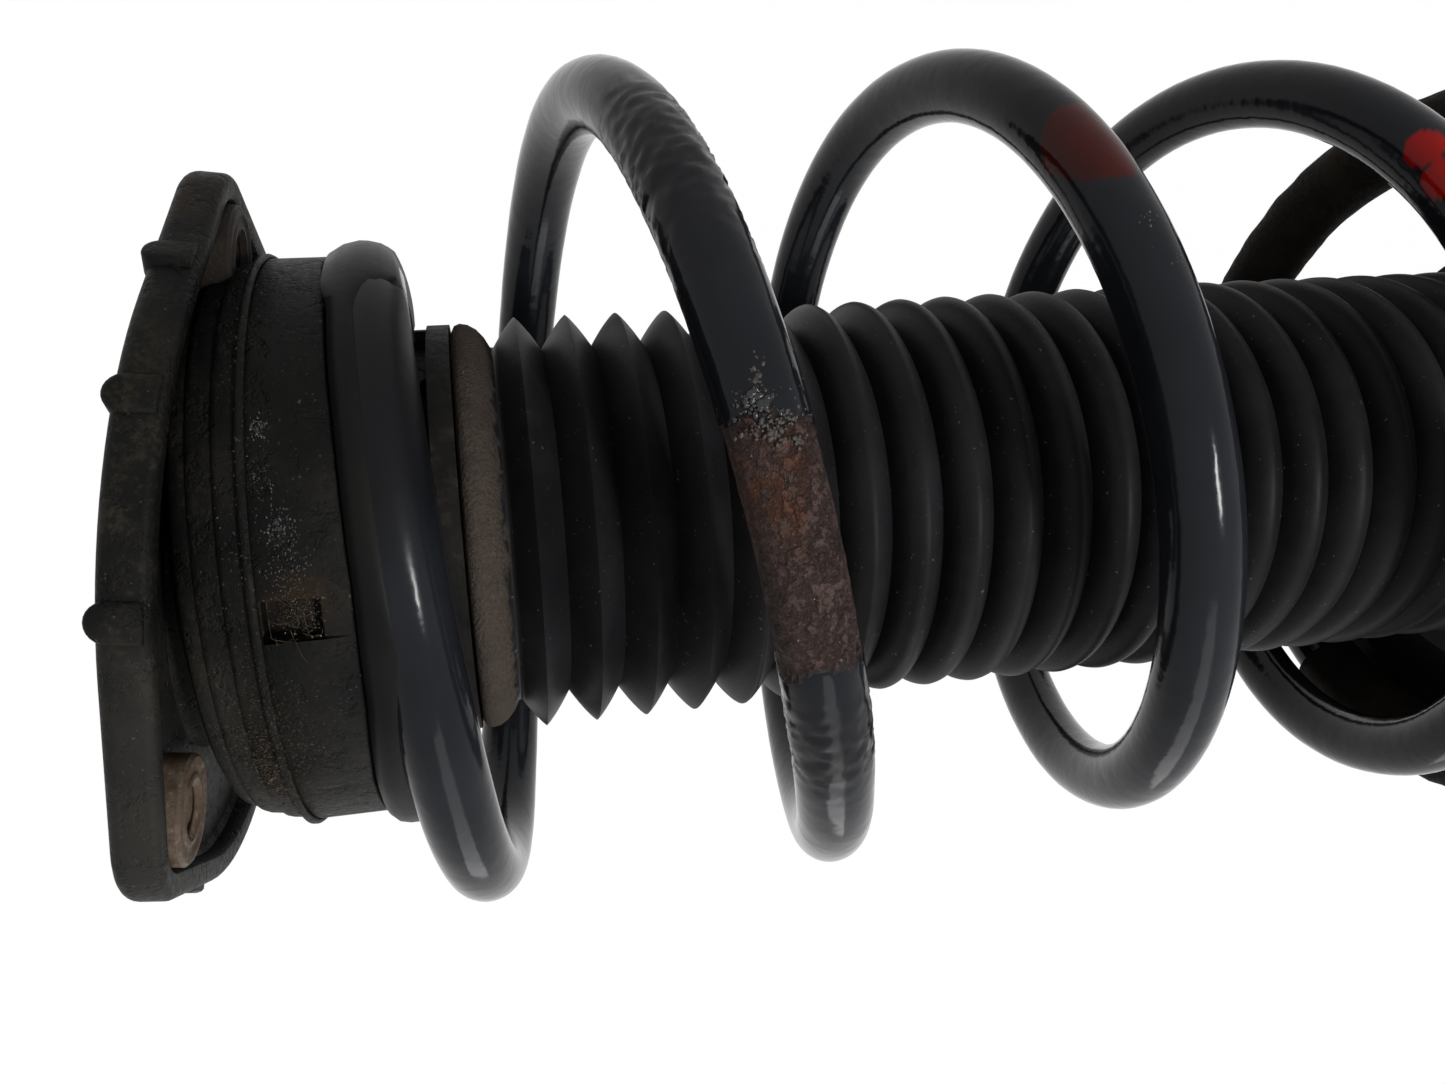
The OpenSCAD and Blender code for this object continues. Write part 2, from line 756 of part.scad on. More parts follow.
module rebound_stop() color("#3b3b3b") {
  lathe([[rod_r + run_gap, stop_top], [bore_d / 2 - 1.5, stop_top],
         [bore_d / 2 - 1, stop_top + 1], [bore_d / 2 - 1, stop_top + stop_h],
         [rod_r + run_gap, stop_top + stop_h]]);
}

module piston() color("#9aa0a3") {
  r = bore_d / 2 - 0.5;
  groove = 2;
  difference() {
    lathe([[tail_r + fit_gap, piston_top], [r, piston_top], [r, piston_top + groove],
           [r - groove, piston_top + groove], [r - groove, piston_top + piston_h - groove],
           [r, piston_top + piston_h - groove], [r, piston_top + piston_h],
           [tail_r + fit_gap, piston_top + piston_h]]);
    for (k = [0 : 7])
      rotate([0, 0, 45 * k])
        translate([(tail_r + r - groove) / 2, 0, -piston_top - piston_h - 1])
          cylinder(r = 1.4, h = piston_h + 2, $fn = 24);
  }
}

module piston_ring() color("#2f6b4f") {
  r = bore_d / 2;
  ring(r - 2.5 + fit_gap, r - run_gap, piston_top + 2 + fit_gap, piston_top + piston_h - 2 - fit_gap);
}

module piston_nut() color("#8f9294") {
  top = piston_top + piston_h;
  difference() {
    hexagon_bar(2.9 * tail_r, top, top + nut_h);
    bar(tail_r + fit_gap, top - 1, top + nut_h + 1);
  }
}

module tube_cap() color("#55595c") {
  lip = 0.6;
  top = tube_top - cap_lip();
  lathe([[rod_r + 1, top], [tube_r + lip, top], [tube_r + lip, tube_top + 5],
         [tube_r + fit_gap, tube_top + 5], [tube_r + fit_gap, tube_top],
         [rod_r + 1, tube_top]]);
}

module rod_seal() color("#2c3a2e") {
  ring(rod_r + run_gap, tube_in_r - 2, tube_top, tube_top + seal_h);
}

module rod_guide() color("#8f9496") {
  shelf = cylinder_r + fit_gap;
  lathe([[rod_r + run_gap, guide_top], [tube_in_r - fit_gap, guide_top],
         [tube_in_r - fit_gap, guide_end], [shelf, guide_end],
         [shelf, guide_end - pocket_h], [bore_d / 2 - fit_gap, guide_end - pocket_h],
         [bore_d / 2 - fit_gap, guide_end], [rod_r + run_gap, guide_end]]);
}

module pressure_tube() color("#9ca1a4") {
  ring(bore_d / 2, cylinder_r, guide_end - pocket_h, valve_top);
}

module base_valve() color("#8a8f92") {
  difference() {
    bar(cylinder_r, valve_top, tube_end - floor_t);
    for (k = [0 : 5])
      rotate([0, 0, 60 * k])
        translate([bore_d / 4, 0, 0])
          bar(1.5, valve_top - 1, tube_end);
  }
}

module damper_tube() color("#1b1d20") {
  lathe([[0, tube_end], [0, tube_end - floor_t], [tube_in_r, tube_end - floor_t],
         [tube_in_r, tube_top], [tube_r, tube_top], [tube_r, tube_end - foot_bevel],
         [tube_r - foot_bevel, tube_end]]);
}

// ---- Lower seat ----

module lower_spring_seat() color("#2a2320") {
  hub_r = ring_r + hub_wall;
  difference() {
    lathe([[ring_r, pan_depth + dish_h - hub_top], [hub_r, pan_depth + dish_h - hub_top],
           [hub_r, pan_depth + dish_h], [pan_bend, pan_depth], [pan_r, pan_depth],
           [pan_r, pan_depth + pan_skirt], [pan_r - pan_t, pan_depth + pan_skirt],
           [pan_r - pan_t, pan_depth + pan_t], [pan_bend + 1, pan_depth + pan_t],
           [hub_r + 1, pan_depth + dish_h + pan_t], [hub_r, pan_depth + dish_h + 2 * hub_top],
           [ring_r, pan_depth + dish_h + 2 * hub_top]]);
    wedge(cutout_from, cutout_to, pan_bend - cutout_run, pan_depth - 1, pan_depth + 2 * dish_h);
  }
}

// Sector between two angles, from a radius outwards
module wedge(from, to, r_in, top, end) {
  far = 3 * pan_r;
  translate([0, 0, -end])
    linear_extrude(end - top)
      difference() {
        polygon([[0, 0], far * [cos(from), sin(from)],
                 far * [cos((from + to) / 2), sin((from + to) / 2)],
                 far * [cos(to), sin(to)]]);
        circle(r = r_in);
      }
}

// Rubber pad under the seated end of the spring
module lower_pad() color("#17171a") {
  margin = 6;
  from = 360 * (ceil(turn_end) - turn_end) - margin;
  sweep = 360 * (turn_end - dead_turn) + 2 * margin;
  lathe([[pan_r - pad_w, pan_depth - pad_t], [pan_r, pan_depth - pad_t],
         [pan_r, pan_depth], [pan_r - pad_w, pan_depth]], from, sweep);
}

// ---- Brackets ----

module knuckle_bracket() color("#1f2124") {
  wrap_r = ring_r + ear_t;
  difference() {
    union() {
      bar(wrap_r, bracket_top, bracket_end);
      for (side = [-1, 1])
        translate([-ear_reach, side * (ear_gap + ear_t) / 2 - ear_t / 2, -bracket_end])
          cube([ear_reach, ear_t, ear_h]);
    }
    bar(ring_r, bracket_top - 1, bracket_end + 1);
    translate([-2 * ear_reach, -ear_gap / 2, -bracket_end - 1])
      cube([2 * ear_reach, ear_gap, ear_h + 2]);
    for (d = [hole_low, hole_high])
      translate([-bolt_reach, 0, -d])
        rotate([90, 0, 0])
          cylinder(d = bolt_hole_d, h = 4 * ear_gap, center = true);
  }
}

// Flat tab on the tube with a round end and a hole
module side_tab(angle, depth, reach, hole_d, thickness, margin) {
  width = hole_d + 2 * margin;
  rotate([0, 0, angle])
    translate([0, 0, -depth - thickness])
      difference() {
        linear_extrude(thickness)
          difference() {
            union() {
              translate([reach, 0])
                circle(d = width);
              translate([0, -width / 2])
                square([reach, width]);
            }
            circle(r = ring_r);
          }
        translate([reach, 0, -1])
          cylinder(d = hole_d, h = thickness + 2);
      }
}

module link_bracket() color("#1f2124") {
  side_tab(link_angle, link_depth, link_reach, link_hole_d, link_t, 7);
}

module hose_bracket() color("#1f2124") {
  side_tab(hose_angle, hose_depth, hose_reach, hose_hole_d, hose_t, 5);
}

mount_flange();
threaded_inserts();
mount_housing();
rubber_bush();
bush_sleeve();
top_washer();
rod_nut();
bearing_top_race();
bearing_balls();
bearing_cage();
bearing_lower_race();
upper_spring_seat();
spring_insulator();
boot_collar();
coil_spring();
spring_sleeve();
dust_boot();
bump_stop_cup();
bump_stop();
piston_rod();
rebound_stop();
piston();
piston_ring();
piston_nut();
tube_cap();
rod_seal();
rod_guide();
pressure_tube();
base_valve();
damper_tube();
lower_spring_seat();
lower_pad();
knuckle_bracket();
link_bracket();
hose_bracket();
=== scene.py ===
import math
import random

import bmesh
import bpy
from mathutils import Matrix, Vector, noise


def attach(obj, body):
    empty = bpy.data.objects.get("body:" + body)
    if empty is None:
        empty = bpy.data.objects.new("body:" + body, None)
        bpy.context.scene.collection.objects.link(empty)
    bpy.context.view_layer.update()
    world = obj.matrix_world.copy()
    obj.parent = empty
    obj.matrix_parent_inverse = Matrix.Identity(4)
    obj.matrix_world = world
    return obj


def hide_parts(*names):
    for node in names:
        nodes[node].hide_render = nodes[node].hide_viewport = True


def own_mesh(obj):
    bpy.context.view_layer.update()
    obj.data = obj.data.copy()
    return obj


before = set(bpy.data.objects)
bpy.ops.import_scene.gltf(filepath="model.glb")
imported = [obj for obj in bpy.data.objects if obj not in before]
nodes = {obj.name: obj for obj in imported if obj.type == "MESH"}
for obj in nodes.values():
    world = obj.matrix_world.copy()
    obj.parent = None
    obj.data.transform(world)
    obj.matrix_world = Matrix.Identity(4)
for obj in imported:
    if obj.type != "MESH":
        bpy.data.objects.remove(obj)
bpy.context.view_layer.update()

mm = 0.001
turnRadians = 2 * math.pi
print("frame loaded:", len(nodes), "nodes")


view = dict(
    place=(6.05, -207.73, -48.76),      # millimetres, in the part's own frame
    right=(-0.07164, -0.19578, -0.97803),
    up=(0.99572, 0.04335, -0.08161),
    lens=28.79,
    sensor=36.0,
)


def aimedMatrix(place, right, up):
    x = Vector(right).normalized()
    z = x.cross(Vector(up)).normalized()
    y = z.cross(x)
    turn = Matrix((x, y, z)).transposed().to_4x4()
    return Matrix.Translation(Vector(place) * mm) @ turn


lensData = bpy.data.cameras.new("stripCamera")
lensData.lens = view["lens"]
lensData.sensor_width = view["sensor"]
lensData.sensor_fit = "HORIZONTAL"
lensData.clip_start = 0.01
camera = bpy.data.objects.new("stripCamera", lensData)
camera.matrix_world = aimedMatrix(view["place"], view["right"], view["up"])
bpy.context.collection.objects.link(camera)
bpy.context.scene.camera = camera
print("camera placed")


def smooth(x):
    u = max(0.0, min(1.0, x))
    return u * u * (3 - 2 * u)


def between(a, b, u):
    return a + (b - a) * u


def newPiece(name, shape, material, body, sharp=None):
    mesh = bpy.data.meshes.new(name)
    mesh.from_pydata([tuple(Vector(v) * mm) for v in shape.verts], [], shape.faces)
    work = bmesh.new()
    work.from_mesh(mesh)
    bmesh.ops.recalc_face_normals(work, faces=work.faces)
    work.to_mesh(mesh)
    work.free()
    mesh.materials.append(material)
    piece = bpy.data.objects.new(name, mesh)
    bpy.context.collection.objects.link(piece)
    mesh.shade_smooth()
    if sharp:
        mesh.set_sharp_from_angle(angle=math.radians(sharp))
    if body:
        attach(piece, body)
    return piece


class Shape:
    # points in millimetres and faces of one piece, gathered ring by ring

    def __init__(self):
        self.verts, self.faces = [], []

    def skin(self, rings, caps=False, joined=False):
        start, n, count = len(self.verts), len(rings[0]), len(rings)
        for ring in rings:
            self.verts += [tuple(p) for p in ring]
        for k in range(count if joined else count - 1):
            a, b = start + k * n, start + (k + 1) % count * n
            for i in range(n):
                j = (i + 1) % n
                self.faces.append((a + i, a + j, b + j, b + i))
        if caps:
            end = start + (count - 1) * n
            self.faces.append(tuple(range(start + n - 1, start - 1, -1)))
            self.faces.append(tuple(range(end, end + n)))
        return self

    def placed(self, matrix):
        self.verts = [tuple(matrix @ Vector(v)) for v in self.verts]
        return self

    def join(self, other):
        start = len(self.verts)
        self.verts += other.verts
        self.faces += [tuple(i + start for i in face) for face in other.faces]
        return self


def circle(middle, across, up, radius, sides):
    # ring of points from across towards up; radius is a number or a function of the angle
    ring = []
    for k in range(sides):
        a = turnRadians * k / sides
        r = radius(a) if callable(radius) else radius
        ring.append(middle + r * (math.cos(a) * across + math.sin(a) * up))
    return ring


def polar(r, angle, d):
    return (r * math.cos(angle), r * math.sin(angle), -d)


def lathe(profile, steps=192):
    # closed profile of (radius, depth), or a function of the angle that gives one
    rings = []
    for k in range(steps):
        angle = turnRadians * k / steps
        points = profile(angle) if callable(profile) else profile
        rings.append([polar(r, angle, d) for r, d in points])
    return Shape().skin(rings, joined=True)


def carve(piece, cutter, sharp):
    # takes the cutter's volume out of the piece and drops the cutter
    cut = piece.modifiers.new("carve", "BOOLEAN")
    cut.operation, cut.solver, cut.object = "DIFFERENCE", "EXACT", cutter
    bpy.context.view_layer.update()
    ready = piece.evaluated_get(bpy.context.evaluated_depsgraph_get())
    mesh = bpy.data.meshes.new_from_object(ready)
    piece.modifiers.clear()
    piece.data = mesh
    mesh.set_sharp_from_angle(angle=math.radians(sharp))
    bpy.data.objects.remove(cutter)


def softEdges(piece, width, angle, segments=2, clean=False):
    # worn round edges, added without touching the mesh itself
    if clean:
        weld = piece.modifiers.new("weld", "WELD")
        weld.merge_threshold = 0.00001
        flat = piece.modifiers.new("flat", "DECIMATE")
        flat.decimate_type, flat.angle_limit = "DISSOLVE", math.radians(0.6)
    bevel = piece.modifiers.new("bevel", "BEVEL")
    bevel.width, bevel.segments = width * mm, segments
    bevel.limit_method, bevel.angle_limit = "ANGLE", math.radians(angle)
    bevel.harden_normals = True


def alongKnots(knots, t):
    # straight lines between (place, value) knots
    for (t0, v0), (t1, v1) in zip(knots, knots[1:]):
        if t < t1:
            return between(v0, v1, max(0.0, (t - t0) / (t1 - t0)))
    return knots[-1][1]


class Recipe:
    # one material and short calls for its nodes

    def __init__(self, name, look, roughness, metallic=0.0):
        self.material = bpy.data.materials.new(name)
        self.material.use_nodes = True
        self.tree = self.material.node_tree
        self.shader = self.tree.nodes["Principled BSDF"]
        self.shader.inputs["Base Color"].default_value = (*look["dark"], 1)
        self.shader.inputs["Roughness"].default_value = roughness
        self.shader.inputs["Metallic"].default_value = metallic
        self.shader.inputs["Specular IOR Level"].default_value = look.get("shine", 0.5)
        self.place = self.add("TexCoord").outputs["Object"]

    def add(self, kind, inputs=None, **settings):
        node = self.tree.nodes.new("ShaderNode" + kind)
        for key, value in settings.items():
            setattr(node, key, value)
        for key, value in (inputs or {}).items():
            self.give(node.inputs[key], value)
        return node

    def give(self, socket, value):
        if isinstance(value, bpy.types.NodeSocket):
            self.tree.links.new(value, socket)
        elif isinstance(value, (tuple, list)) and len(value) == 3 and socket.type == "RGBA":
            socket.default_value = (*value, 1)
        else:
            socket.default_value = value

    def grain(self, perMetre, detail=4.0, rough=0.55, shift=0.0):
        # noise with so many cells to a metre; shift moves it to another part of the pattern
        where = self.place
        if shift:
            where = self.add("VectorMath", {0: where, 1: (shift, shift * 1.7, shift * 0.6)},
                             operation="ADD").outputs[0]
        node = self.add("TexNoise", {"Vector": where, "Scale": perMetre, "Detail": detail,
                                     "Roughness": rough})
        return node.outputs["Fac"]

    def spread(self, value, low, high, toLow=0.0, toHigh=1.0, soft=False):
        node = self.add("MapRange", {"Value": value, "From Min": low, "From Max": high,
                                     "To Min": toLow, "To Max": toHigh})
        node.interpolation_type = "SMOOTHSTEP" if soft else "LINEAR"
        return node.outputs["Result"]

    def sum(self, a, b, operation="ADD", clamp=False):
        return self.add("Math", {0: a, 1: b}, operation=operation, use_clamp=clamp).outputs[0]

    def times(self, a, b):
        return self.sum(a, b, operation="MULTIPLY")

    def mix(self, amount, a, b):
        node = self.add("Mix", data_type="RGBA")
        self.give(node.inputs[0], amount)
        self.give(node.inputs[6], a)
        self.give(node.inputs[7], b)
        return node.outputs[2]

    def tone(self, look, value, low=0.35, high=0.7):
        # from the look's dark colour to its worn one
        return self.mix(self.spread(value, low, high), look["dark"], look["worn"])

    def blob(self, middle, reach, edge, wander=0.0, perMetre=300.0):
        # 1 inside an ellipsoid of the frame, with an uneven rim; sizes in millimetres
        offset = self.add("VectorMath", {0: self.place, 1: tuple(-c * mm for c in middle)},
                          operation="ADD").outputs[0]
        scaled = self.add("VectorMath", {0: offset, 1: tuple(1 / (r * mm) for r in reach)},
                          operation="MULTIPLY").outputs[0]
        far = self.add("VectorMath", {0: scaled}, operation="LENGTH").outputs["Value"]
        if wander:
            far = self.sum(far, self.spread(self.grain(perMetre), 0.3, 0.7, -wander, wander))
        return self.spread(far, 1 + edge, 1 - edge, soft=True)

    def patch(self, base, look, name, share):
        # the look's colour of that name, laid over its place
        return self.mix(self.times(self.blob(*patches[name]), share), base, look[name])

    def bump(self, height, distance, before=None):
        # relief of the given height in millimetres
        inputs = {"Height": height, "Distance": distance * mm, "Strength": 1.0}
        if before is not None:
            inputs["Normal"] = before
        return self.add("Bump", inputs).outputs[0]

    def wear(self, colour, roughness, normal):
        for socket, value in (("Base Color", colour), ("Roughness", roughness),
                              ("Normal", normal)):
            self.give(self.shader.inputs[socket], value)
        return self.material


finishes = dict(
    plastic=dict(dark=(0.0052, 0.0052, 0.0051), worn=(0.0125, 0.012, 0.011),
                 # lowerSheen is the colour of a painted sheen on the lower flange
                 dust=(0.03, 0.027, 0.018), lowerSheen=(0.034, 0.033, 0.03), stain=(0.03, 0.018, 0.009),
                 brown=(0.03, 0.019, 0.012), loose=(0.085, 0.066, 0.045),
                 crumb=(0.11, 0.1, 0.085), shine=0.045),
    boot=dict(dark=(0.008, 0.008, 0.0088), worn=(0.0175, 0.0175, 0.019),
              dust=(0.04, 0.033, 0.027), crumb=(0.16, 0.15, 0.14), shine=0.06),
    grey=dict(dark=(0.007, 0.007, 0.007), worn=(0.011, 0.011, 0.0105),
              dust=(0.03, 0.026, 0.02), shine=0.05),
    sleeve=dict(dark=(0.004, 0.0035, 0.003), worn=(0.012, 0.009, 0.006),
                dust=(0.035, 0.024, 0.014), shine=0.06),
    tan=dict(dark=(0.05, 0.04, 0.033), worn=(0.075, 0.06, 0.049), dust=(0.1, 0.085, 0.07)),
    collar=dict(dark=(0.006, 0.006, 0.006), worn=(0.014, 0.0125, 0.011),
                dust=(0.045, 0.037, 0.03), shine=0.08),
    rusty=dict(dark=(0.055, 0.032, 0.018), worn=(0.13, 0.1, 0.076), dust=(0.26, 0.21, 0.165),
               # lobeShadeGrime is the colour of painted shade with grime on the top lobe's boss
               orange=(0.1, 0.036, 0.012), lobeShadeGrime=(0.0075, 0.006, 0.005), shine=0.2),
    tar=dict(dark=(0.005, 0.005, 0.005), worn=(0.012, 0.012, 0.012),
             dust=(0.05, 0.047, 0.042), shine=0.45),
    sand=dict(dark=(0.03, 0.02, 0.012), worn=(0.07, 0.053, 0.034),
              dust=(0.15, 0.125, 0.095), shine=0.15),
    scale=dict(dark=(0.04, 0.034, 0.031), worn=(0.085, 0.072, 0.066),
               dust=(0.2, 0.18, 0.17), shine=0.4),
    foam=dict(dark=(0.4, 0.32, 0.18), worn=(0.46, 0.38, 0.22), dust=(0.3, 0.25, 0.16), shine=0.2),
    polymer=dict(dark=(0.02, 0.06, 0.04), worn=(0.03, 0.08, 0.05),
                 dust=(0.04, 0.08, 0.05), shine=0.3),
    paint=dict(dark=(0.008, 0.0084, 0.009), worn=(0.016, 0.0165, 0.0175),
               dirt=(0.022, 0.019, 0.014), dust=(0.05, 0.035, 0.022), shine=0.13),
    wire=dict(dark=(0.0092, 0.01, 0.0126), worn=(0.016, 0.0175, 0.0217), shine=0.11,
              # upperShade is the colour of painted shade on the wire's upper end
              fold=(0.0085, 0.008, 0.0085), upperShade=(0.0035, 0.0035, 0.0037),
              chip=(0.09, 0.07, 0.055), rust=(0.086, 0.057, 0.051), rustDark=(0.02, 0.011, 0.009),
              # rustShade is the colour of painted shade on the upper side of the rust patch
              rustShade=(0.03, 0.017, 0.014), orange=(0.13, 0.046, 0.018), flake=(0.42, 0.36, 0.32),
              dullRed=(0.06, 0.007, 0.0045), brightRed=(0.36, 0.006, 0.004)),
)
patches = dict(
    # middle and reach in millimetres, softness, unevenness of the rim and its cells to a metre
    rim=((8, -58, -4), (46, 30, 6), 0.4, 0.3, 90),
    # painted sheen on the lower flange, as of light from below
    lowerSheen=((-40, -38, -3), (30, 30, 9), 0.5, 0.25, 120),
    dirt=((-30, -38, -13), (13, 22, 8), 0.7, 0.5, 150),
    stain=((-7, -46, -22.5), (3.4, 6, 3.8), 0.8, 0.6, 500),
    brown=((52, -12, -7), (9, 16, 6), 0.6, 0.3, 200),
    # painted shade with grime on the top lobe's boss
    lobeShadeGrime=((46, -14, -7), (22, 22, 18), 0.4),
    # painted shade on the upper side of the wire's rust patch
    rustShade=((5, -61, -70), (22, 6, 9), 0.5, 0.35, 200),
    orange=((4.5, -70, -83), (7.5, 9, 3.8), 0.6, 0.4, 300),
    # painted shade over the wire's upper end
    upperShade=((25, -44, -34), (27, 20, 10), 0.35),
)


def grimyPlastic(name, look, dustLevel=0.5, gloss=0.55, dusty=60.0):
    m = Recipe(name, look, gloss)
    cloud = m.grain(dusty, 5, 0.62)
    fine = m.grain(900, 3, 0.6)
    speck = m.grain(2600, 2, 0.5)
    base = m.tone(look, cloud)
    patch = m.spread(m.sum(cloud, m.spread(fine, 0.3, 0.7, -0.12, 0.12)), 0.66 - 0.2 * dustLevel,
                     0.8, 0, 0.85 * dustLevel, soft=True)
    base = m.mix(patch, base, look["dust"])
    rough = m.spread(fine, 0.3, 0.7, gloss - 0.1, gloss + 0.16)
    normal = m.bump(fine, 0.1)
    normal = m.bump(speck, 0.05, normal)
    return m.wear(base, rough, normal)


def rustFinish(name, look):
    # dry zinc with brown rust, orange where it meets the plastic, and painted shade with grime on
    # the top lobe's boss
    m = Recipe(name, look, 0.65)
    cloud = m.grain(330, 7, 0.75)
    fine = m.grain(1300, 4, 0.7)
    base = m.tone(look, cloud, 0.36, 0.62)
    pale = m.times(m.spread(fine, 0.55, 0.66), m.spread(cloud, 0.45, 0.6))
    base = m.mix(pale, base, look["dust"])
    orange = m.spread(m.grain(420, 5, 0.7, shift=0.7), 0.58, 0.68)
    base = m.mix(m.times(orange, 0.75), base, look["orange"])
    # painted shade with grime darkens the top lobe's boss
    base = m.patch(base, look, "lobeShadeGrime", 0.93)
    normal = m.bump(m.sum(cloud, fine), 0.2)
    return m.wear(base, m.spread(fine, 0.3, 0.7, 0.5, 0.8), normal)


def mountPlasticFinish(name, look):
    # black moulding with olive dust on the flange rim, a painted sheen on the lower flange, pale
    # grit and a rust stain at the notch
    m = Recipe(name, look, 0.5)
    cloud = m.grain(70, 6, 0.62)
    fine = m.grain(1100, 4, 0.65)
    base = m.tone(look, cloud)
    dusty = m.spread(m.sum(cloud, m.spread(fine, 0.3, 0.7, -0.14, 0.14)), 0.5, 0.68, 0, 0.7,
                     soft=True)
    rim = m.blob(*patches["rim"])
    base = m.mix(m.times(dusty, m.spread(rim, 0, 1, 0.25, 1)), base, look["dust"])
    # painted sheen on the lower flange
    base = m.patch(base, look, "lowerSheen", 0.6)
    dirt = m.blob(*patches["dirt"])
    loose = m.spread(m.grain(2300, 4, 0.75, shift=0.4), 0.56, 0.64)
    base = m.mix(m.times(dirt, loose), base, look["loose"])
    base = m.patch(base, look, "stain", 0.55)
    base = m.patch(base, look, "brown", 0.6)
    crumbs = m.spread(m.grain(1500, 2, 0.5, shift=0.7), 0.7, 0.74)
    base = m.mix(m.times(crumbs, 0.55), base, look["crumb"])
    rough = m.sum(m.spread(fine, 0.3, 0.7, 0.36, 0.6), m.times(dirt, 0.25))
    pits = m.spread(m.grain(260, 4, 0.7, shift=0.9), 0.54, 0.7, 0, -1)
    normal = m.bump(pits, 0.3)
    normal = m.bump(fine, 0.16, normal)
    return m.wear(base, rough, normal)


def satinRubber(name, look):
    m = Recipe(name, look, 0.4)
    cloud = m.grain(45, 4, 0.6)
    fine = m.grain(700, 3, 0.6)
    base = m.tone(look, cloud, 0.4, 0.7)
    base = m.mix(m.spread(m.grain(120, 6, 0.7, shift=0.3), 0.62, 0.85, 0, 0.3), base, look["dust"])
    return m.wear(base, m.spread(cloud, 0.3, 0.7, 0.34, 0.5), m.bump(fine, 0.05))


def bootRubberFinish(name, look, tan):
    # satin rubber with road dust caked on the top bead and a few pale specks
    m = Recipe(name, look, 0.45)
    cloud = m.grain(40, 5, 0.65)
    fine = m.grain(800, 3, 0.6)
    base = m.tone(look, cloud, 0.38, 0.7)
    smear = m.spread(m.grain(110, 7, 0.72, shift=0.3), 0.6, 0.8, 0, 0.28)
    base = m.mix(smear, base, look["dust"])
    crumbs = m.spread(m.grain(1300, 2, 0.5, shift=0.6), 0.72, 0.74)
    base = m.mix(m.times(crumbs, 0.6), base, look["crumb"])
    height = m.add("SeparateXYZ", {0: m.place}).outputs["Z"]
    edge = m.sum(height, m.spread(m.grain(380, 3, 0.6), 0.3, 0.7, -0.0007, 0.0007))
    caked = m.spread(edge, -0.0506, -0.0496, soft=True)
    thin = m.spread(m.grain(150, 5, 0.65, shift=0.8), 0.25, 0.5, 0.35, 1)
    grit = m.spread(m.grain(1700, 3, 0.6), 0.3, 0.7)
    dust = m.mix(grit, tan["dark"], tan["worn"])
    dust = m.mix(m.spread(m.grain(1900, 2, 0.5, shift=0.2), 0.68, 0.72), dust, tan["dust"])
    caked = m.times(caked, thin)
    base = m.mix(caked, base, dust)
    rough = m.sum(m.spread(cloud, 0.3, 0.7, 0.4, 0.52), m.times(caked, 0.4))
    normal = m.bump(fine, 0.05)
    normal = m.bump(m.times(grit, caked), 0.25, normal)
    return m.wear(base, rough, normal)


def bareMetal(name, colour, rough):
    m = Recipe(name, dict(dark=colour), rough, metallic=1.0)
    fine = m.grain(1200, 4, 0.6)
    cloud = m.grain(150, 5, 0.6)
    base = m.mix(m.spread(cloud, 0.35, 0.75), colour, tuple(c * 0.55 for c in colour))
    return m.wear(base, m.spread(cloud, 0.3, 0.7, rough - 0.08, rough + 0.15),
                  m.bump(fine, 0.02))


def satinPaint(name, look):
    # worn black paint with dirt film and small rust spots
    m = Recipe(name, look, 0.36)
    cloud = m.grain(35, 5, 0.6)
    peel = m.grain(420, 2, 0.5)
    base = m.tone(look, cloud)
    dirt = m.spread(m.grain(75, 7, 0.7, shift=0.2), 0.5, 0.72, 0, 0.6)
    base = m.mix(dirt, base, look["dirt"])
    spots = m.spread(m.grain(210, 8, 0.75, shift=0.5), 0.66, 0.7)
    base = m.mix(spots, base, look["dust"])
    rough = m.sum(m.spread(cloud, 0.3, 0.7, 0.26, 0.45), m.times(spots, 0.4))
    normal = m.bump(spots, 0.08, m.bump(peel, 0.05))
    return m.wear(base, rough, normal)


